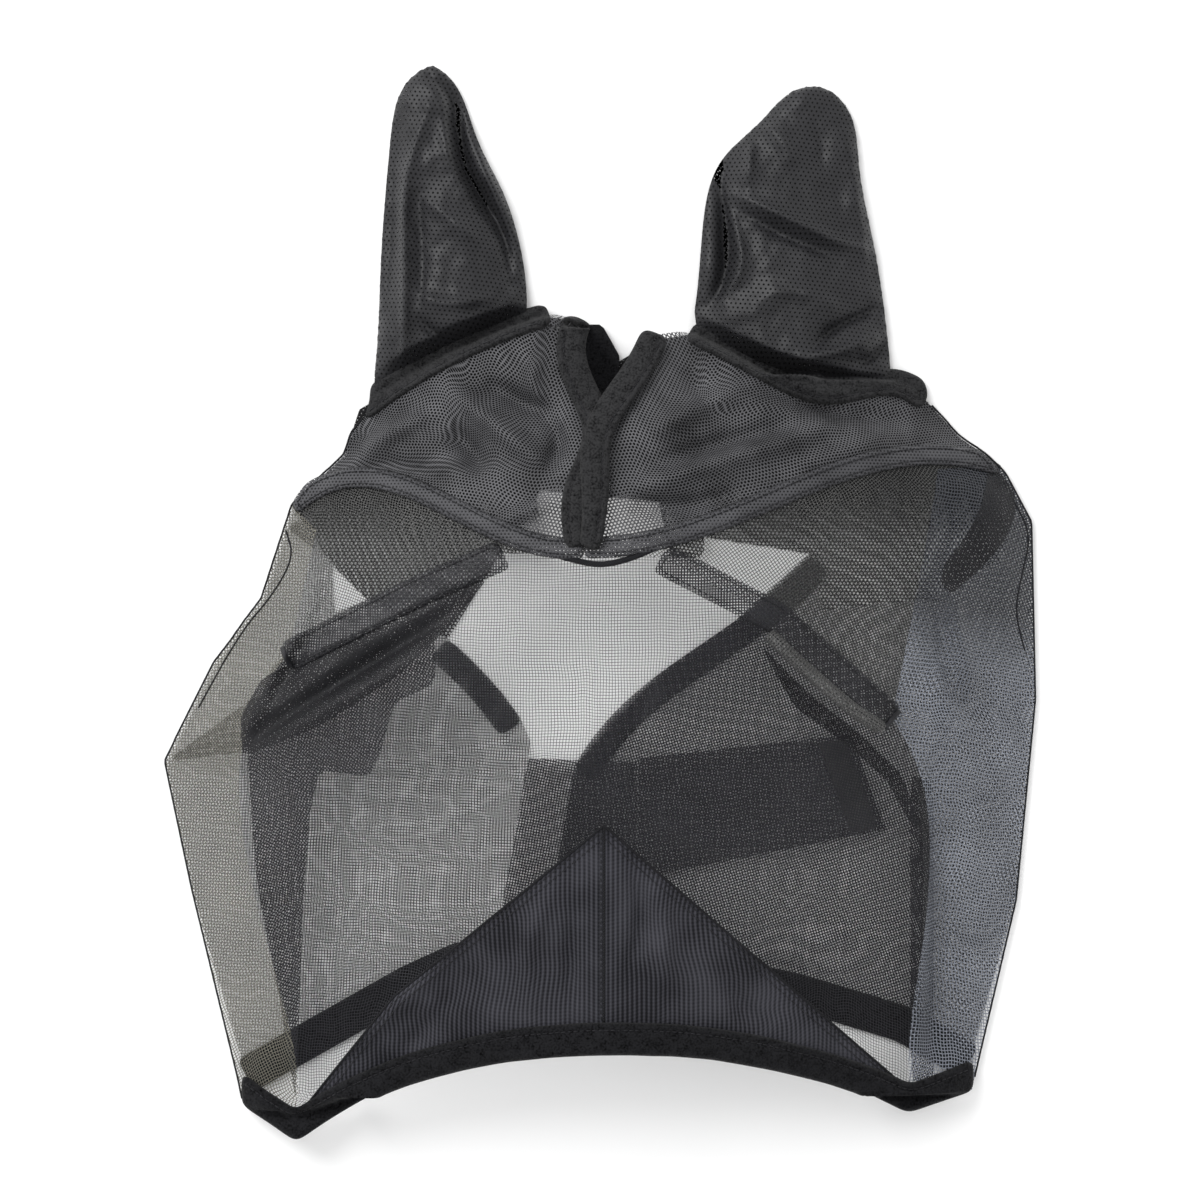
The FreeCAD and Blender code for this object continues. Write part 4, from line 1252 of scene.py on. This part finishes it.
def plies():
    """The cloth tucked into the folds beside the darts and the side creases."""
    for name, material, slot, share, turn, corners in PLIES:
        ring = smooth_ring(corners)
        shape = on_front(PLEAT_LIFT) if share is None else between(share)
        cloth(name, ring, material, slot, shape, front.flat, turn=turn)


def smooth_ring(corners):
    """Corners in millimetres as a ring in metres, slightly rounded."""
    ring = np.array(corners, float) * MM
    after = np.roll(ring, -1, axis=0)
    first = ring * 0.9 + after * 0.1
    second = ring * 0.1 + after * 0.9
    return np.stack([first, second], axis=1).reshape(-1, 2)


# ---------------------------------------------------------------- ears

# Creases of each ear: places in millimetres on the plan, half width and height.
EAR_CREASES = {
    "left": [
        ([(-88, 272), (-75, 262), (-73, 238), (-70, 223), (-60, 207), (-49, 189), (-46, 164)], 4, -14),
        ([(-82, 262), (-80, 240), (-76, 220), (-66, 204)], 4, 6),
        ([(-62, 250), (-62, 226), (-50, 204), (-42, 180)], 5, 7),
        ([(-88, 254), (-102, 217), (-100, 150), (-102, 118)], 3.5, 8),
        ([(-94, 216), (-92, 180), (-92, 146)], 4, -4),
        ([(-92, 208), (-78, 196), (-60, 182)], 5, 5),
        ([(-96, 146), (-81, 134), (-66, 138)], 4, -7),
        ([(-98, 160), (-80, 150), (-56, 156)], 4, 4),
        ([(-106, 250), (-108, 200), (-110, 150)], 4, -4),
    ],
    "right": [
        ([(62, 222), (66, 196), (66, 170), (58, 152)], 5, -14),
        ([(64, 216), (70, 192), (74, 172), (64, 154)], 3, 8),
        ([(68, 210), (92, 198), (122, 184), (141, 180)], 3.5, 8),
        ([(70, 202), (94, 188), (124, 176)], 4, -5),
        ([(78, 236), (77, 226), (76, 212)], 3, 5),
        ([(66, 240), (62, 226), (60, 214)], 4, -5),
        ([(84, 246), (94, 238), (100, 224)], 5, 5),
        ([(108, 258), (114, 240), (116, 214)], 6, -3),
        ([(80, 154), (100, 160), (124, 150)], 6, 4),
        ([(110, 130), (121, 141), (145, 152)], 3.5, -8),
        ([(104, 124), (126, 128), (146, 138)], 3.5, 6),
        ([(130, 122), (140, 124), (150, 136)], 3, -6),
        ([(128, 240), (134, 204), (138, 170)], 4, 3),
    ],
}

EAR_CLOSE = 9 * MM  # the two sides of an ear meet over this width
EAR_UNDER = 2.5 * MM  # the tucked base lies this far under the front cloth


def ear_height(side, field, back_level):
    """Height of the front of an ear pocket: the CAD dome with folds, closed at its edges."""
    ring = even_ring(rings_of("ear_front_" + side)[0], 2 * MM)
    outward = inset(ring, 0)[1]
    sides = ring[-outward[:, 1] < 0.6]  # all but the base, which faces down
    base_line = edge_line(ring, (0, -1), 0.0, 2 * MM)

    def height(points):
        gaps = points[:, None, :] - sides[None, :, :]
        near = np.sqrt((gaps**2).sum(axis=2)).min(axis=1)
        reach = np.clip(near / EAR_CLOSE, 0, 1)
        closing = np.sqrt(1 - (1 - reach) ** 2)
        slack = 1.4 * MM * waves(points, 16 * MM) + 0.5 * MM * waves(points, 6 * MM)
        folds = creased(points, EAR_CREASES[side], 0.03, 1.3)
        full = field.height(points) + (folds + slack)
        value = np.maximum(back_level + (full - back_level) * closing, back_level)
        hidden = line_distance(points, base_line)[0] * np.where(inside(points, ring), 0, 1)
        cover = np.clip(hidden / EAR_CLOSE, 0, 1)
        under = np.maximum(front_height(points) - EAR_UNDER, back_level)
        return value + (np.minimum(value, under) - value) * cover
    return height


EAR_TUCK = 12 * MM  # how far the base of an ear reaches in under the edge of the poll
EAR_BEND = (14 * MM, 44 * MM)  # two places along an ear, these distances from its lowest point


def ears():
    """The two pockets, each a front and a back panel."""
    for side in ("left", "right"):
        front_node = "ear_front_" + side
        back_node = "ear_back_" + side
        field = cad_field([front_node])
        low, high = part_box(back_node)
        back_level = (low.z + high.z) / 2
        ring = tucked(rings_of(front_node)[0], EAR_TUCK)
        shape = ear_height(side, field, back_level)
        pieces = [
            cloth(
                front_node + "_cloth", ring, EAR_KNIT, "ear_knit", shape, field.flat,
                node=front_node, turn=0.1, step=1.4 * MM, body=None,
                area=slab_area(front_node),
            ),
            cloth(
                back_node + "_cloth", ring, EAR_KNIT, "ear_knit", level_at(back_level), plan,
                node=back_node, turn=0.1, body=None,
            ),
        ]
        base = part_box(front_node)[0].y
        middle = (low.x + high.x) / 2
        start, end = ((middle, base + distance, back_level) for distance in EAR_BEND)
        for piece in pieces:
            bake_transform(piece)
            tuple(start)
            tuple(end)


# ---------------------------------------------------------------- stage, light and camera

FRAME_WIDTH = 0.624  # width of the picture on the floor
LAMP_PLACE = Vector((-1.2, 1.3, 1.5))


def stage():
    """A pale floor, an even white sky and one soft lamp."""
    bpy.ops.mesh.primitive_plane_add(size=12, location=(0, 0, 0))
    floor = bpy.context.object
    floor.name = "floor"
    made = bpy.data.materials.new("pale_floor")
    made.use_nodes = True
    shader = made.node_tree.nodes["Principled BSDF"]
    shader.inputs["Base Color"].default_value = (0.95, 0.95, 0.95, 1)
    shader.inputs["Roughness"].default_value = 0.9
    shader.inputs["Specular IOR Level"].default_value = 0.1
    floor.data.materials.append(made)
    world = bpy.data.worlds.new("studio")
    world.use_nodes = True
    world.node_tree.nodes["Background"].inputs[0].default_value = (1, 1, 1, 1)
    world.node_tree.nodes["Background"].inputs[1].default_value = 0.97
    bpy.context.scene.world = world
    lamp = bpy.data.lights.new("soft_box", "AREA")
    lamp.shape = "DISK"
    lamp.size = 1.6
    lamp.energy = 40
    holder = bpy.data.objects.new("soft_box", lamp)
    holder.location = LAMP_PLACE
    holder.rotation_euler = (-LAMP_PLACE).to_track_quat("-Z", "Y").to_euler()
    bpy.context.scene.collection.objects.link(holder)


def camera():
    """Straight above the mask, ears at the top of the image."""
    lens = bpy.data.cameras.new("camera")
    lens.lens = 100
    lens.sensor_width = 36
    lens.clip_end = 20
    eye = bpy.data.objects.new("camera", lens)
    eye.location = (0, 0, FRAME_WIDTH * lens.lens / lens.sensor_width)
    bpy.context.scene.collection.objects.link(eye)
    bpy.context.scene.camera = eye
    bpy.context.scene.view_settings.view_transform = "Standard"


front_panels()
strips()
bindings()
seams()
patch_seams()
back_panels()
closure()
back_hems()
plies()
ears()
stage()
camera()
